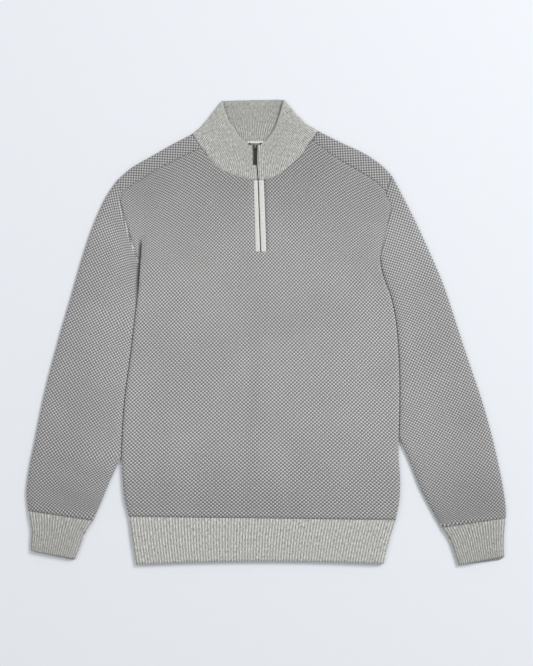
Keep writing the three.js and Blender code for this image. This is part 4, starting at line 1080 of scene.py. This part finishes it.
def beads(name, places, sizes, turns, material, sides=6, body="garment"):
    """Many small rounded blocks as one mesh: places and sizes in millimetres, turns about Z."""
    rings = ((-1.0, 0.55), (-0.6, 1.0), (0.6, 1.0), (1.0, 0.55))
    angle = np.arange(sides) * 2 * math.pi / sides + math.pi / sides
    form = np.array([(along_x, r * math.cos(a), r * math.sin(a)) for along_x, r in rings for a in angle])
    faces = [list(range(sides))[::-1], [sides * 3 + k for k in range(sides)]]
    for ring in range(3):
        for k in range(sides):
            a, b = ring * sides + k, ring * sides + (k + 1) % sides
            faces.append([a, b, b + sides, a + sides])
    points, all_faces = [], []
    for place, size, turn in zip(places, sizes, turns):
        c, s = math.cos(turn), math.sin(turn)
        p = form * (np.array(size) / 2)
        p = np.stack([p[:, 0] * c - p[:, 1] * s, p[:, 0] * s + p[:, 1] * c, p[:, 2]], axis=1)
        all_faces += [[k + len(points) * len(form) for k in face] for face in faces]
        points.append(p + np.asarray(place) + PLAN_TO_FRAME)
    return mesh_object(name, np.concatenate(points) * MM, all_faces, material, body=body)


def teeth():
    y = np.arange(SLIT_FOOT + 2, 302, TEETH["pitch"])
    way = np.where(np.arange(len(y)) % 2 == 0, -1, 1)
    x = zip_x(y) + way * 0.28
    z = (TEETH["low"] + TEETH["high"]) / 2
    places = np.stack([x, y, np.full(len(y), z)], axis=1)
    size = (TEETH["width"], TEETH["length"], TEETH["high"] - TEETH["low"])
    return beads("zip_teeth", places, [size] * len(y), [0.0] * len(y), COIL_PLASTIC)


def stitches(name, line, pitch, size, height, aside=0.0):
    """A row of stitches along a seam, each lying along it."""
    length = length_of(line)
    shares = np.arange(pitch / 2, length - pitch / 2, pitch) / length
    points = along(line, shares)
    ahead = along(line, np.clip(shares + 0.002, 0, 1)) - along(line, np.clip(shares - 0.002, 0, 1))
    turns = np.arctan2(ahead[:, 1], ahead[:, 0])
    points = points + aside * np.stack([-np.sin(turns), np.cos(turns)], axis=1)
    places = np.concatenate([points, np.full((len(points), 1), height)], axis=1)
    return beads(name, places, [size] * len(points), turns, THREAD)


def bevelled(node, name, material, width, body):
    """A finer copy of a CAD piece, with its edges rounded."""
    source = bpy.data.objects[node]
    mesh = source.data.copy()
    mesh.name = name
    mesh.transform(source.matrix_world)
    form = bmesh.new()
    form.from_mesh(mesh)
    bmesh.ops.remove_doubles(form, verts=form.verts, dist=1e-6)
    bmesh.ops.dissolve_limit(form, angle_limit=math.radians(2), verts=form.verts, edges=form.edges)
    bmesh.ops.bevel(
        form, geom=[e for e in form.edges if e.calc_face_angle(0) > math.radians(35)],
        offset=width * MM, segments=2, profile=0.5, affect="EDGES", clamp_overlap=True,
    )
    form.to_mesh(mesh)
    form.free()
    mesh.materials.clear()
    mesh.materials.append(material)
    piece = bpy.data.objects.new(name, mesh)
    bpy.context.scene.collection.objects.link(piece)
    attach(piece, body)
    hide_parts(node)
    return piece


# Floor

floor_mesh = bpy.data.meshes.new("floor")
FLOOR_HALF, FLOOR_Z = 6.0, -0.0002
floor_corners = [(x * FLOOR_HALF, y * FLOOR_HALF, FLOOR_Z) for x, y in ((-1, -1), (1, -1), (1, 1), (-1, 1))]
floor_mesh.from_pydata(floor_corners, [], [(0, 1, 2, 3)])
floor_mesh.materials.append(floor_material())
floor = bpy.data.objects.new("floor", floor_mesh)
bpy.context.scene.collection.objects.link(floor)

# Build

front_knit = front()
back_knit = back()
sleeves = {side: sleeve(side) for side in ("left", "right")}
cuffs = {side: cuff(side) for side in ("left", "right")}
hem_front = hem(1, "hem_front_rib", "hem_front")
hem_back = hem(-1, "hem_back_rib", "hem_back")
collar_rib = collar()
bands = {side: band(side) for side in ("left", "right")}
zip_teeth = teeth()
slider = bevelled("zip_slider", "slider_body", SLIDER_METAL, 0.25, "garment")
pull = bevelled("zip_pull", "pull_tab", PULL_PLASTIC, 0.25, "pull")
ends = [
    bevelled(f"zip_end_{side}", f"coil_end_{side}", COIL_PLASTIC, 0.3, "garment")
    for side in ("left", "right")
]
label = bevelled("neck_label", "label_tape", LABEL_TAPE, 0.12, "garment")
tape = bevelled("zip_coil", "coil_tape", COIL_TAPE, 0.2, "garment")

for side, hand in (("left", NECK_LEFT), ("right", NECK_RIGHT)):
    aside = 0.4 if side == "left" else -0.4
    stitches(f"neck_stitches_{side}", spline(hand), 2.6, (2.0, 1.0, 0.8), 8.15, aside)


# Light


def lamp(name, place, target, size, power):
    data = bpy.data.lights.new(name, "AREA")
    data.shape = "DISK"
    data.size = size
    data.energy = power
    light = bpy.data.objects.new(name, data)
    light.location = place
    light.rotation_euler = (Vector(target) - Vector(place)).to_track_quat("-Z", "Y").to_euler()
    bpy.context.scene.collection.objects.link(light)


lamp("key", (3.2, 2.2, 3.6), (0, 0.05, 0), 2.2, 196)
lamp("fill", (-2.6, 0.4, 3.4), (0, 0, 0), 3.0, 34)
world = bpy.data.worlds.new("studio")
world.use_nodes = True
world.node_tree.nodes["Background"].inputs[0].default_value = (0.97, 0.98, 1.0, 1)
world.node_tree.nodes["Background"].inputs[1].default_value = 0.51
bpy.context.scene.world = world
bpy.context.scene.view_settings.view_transform = "Standard"
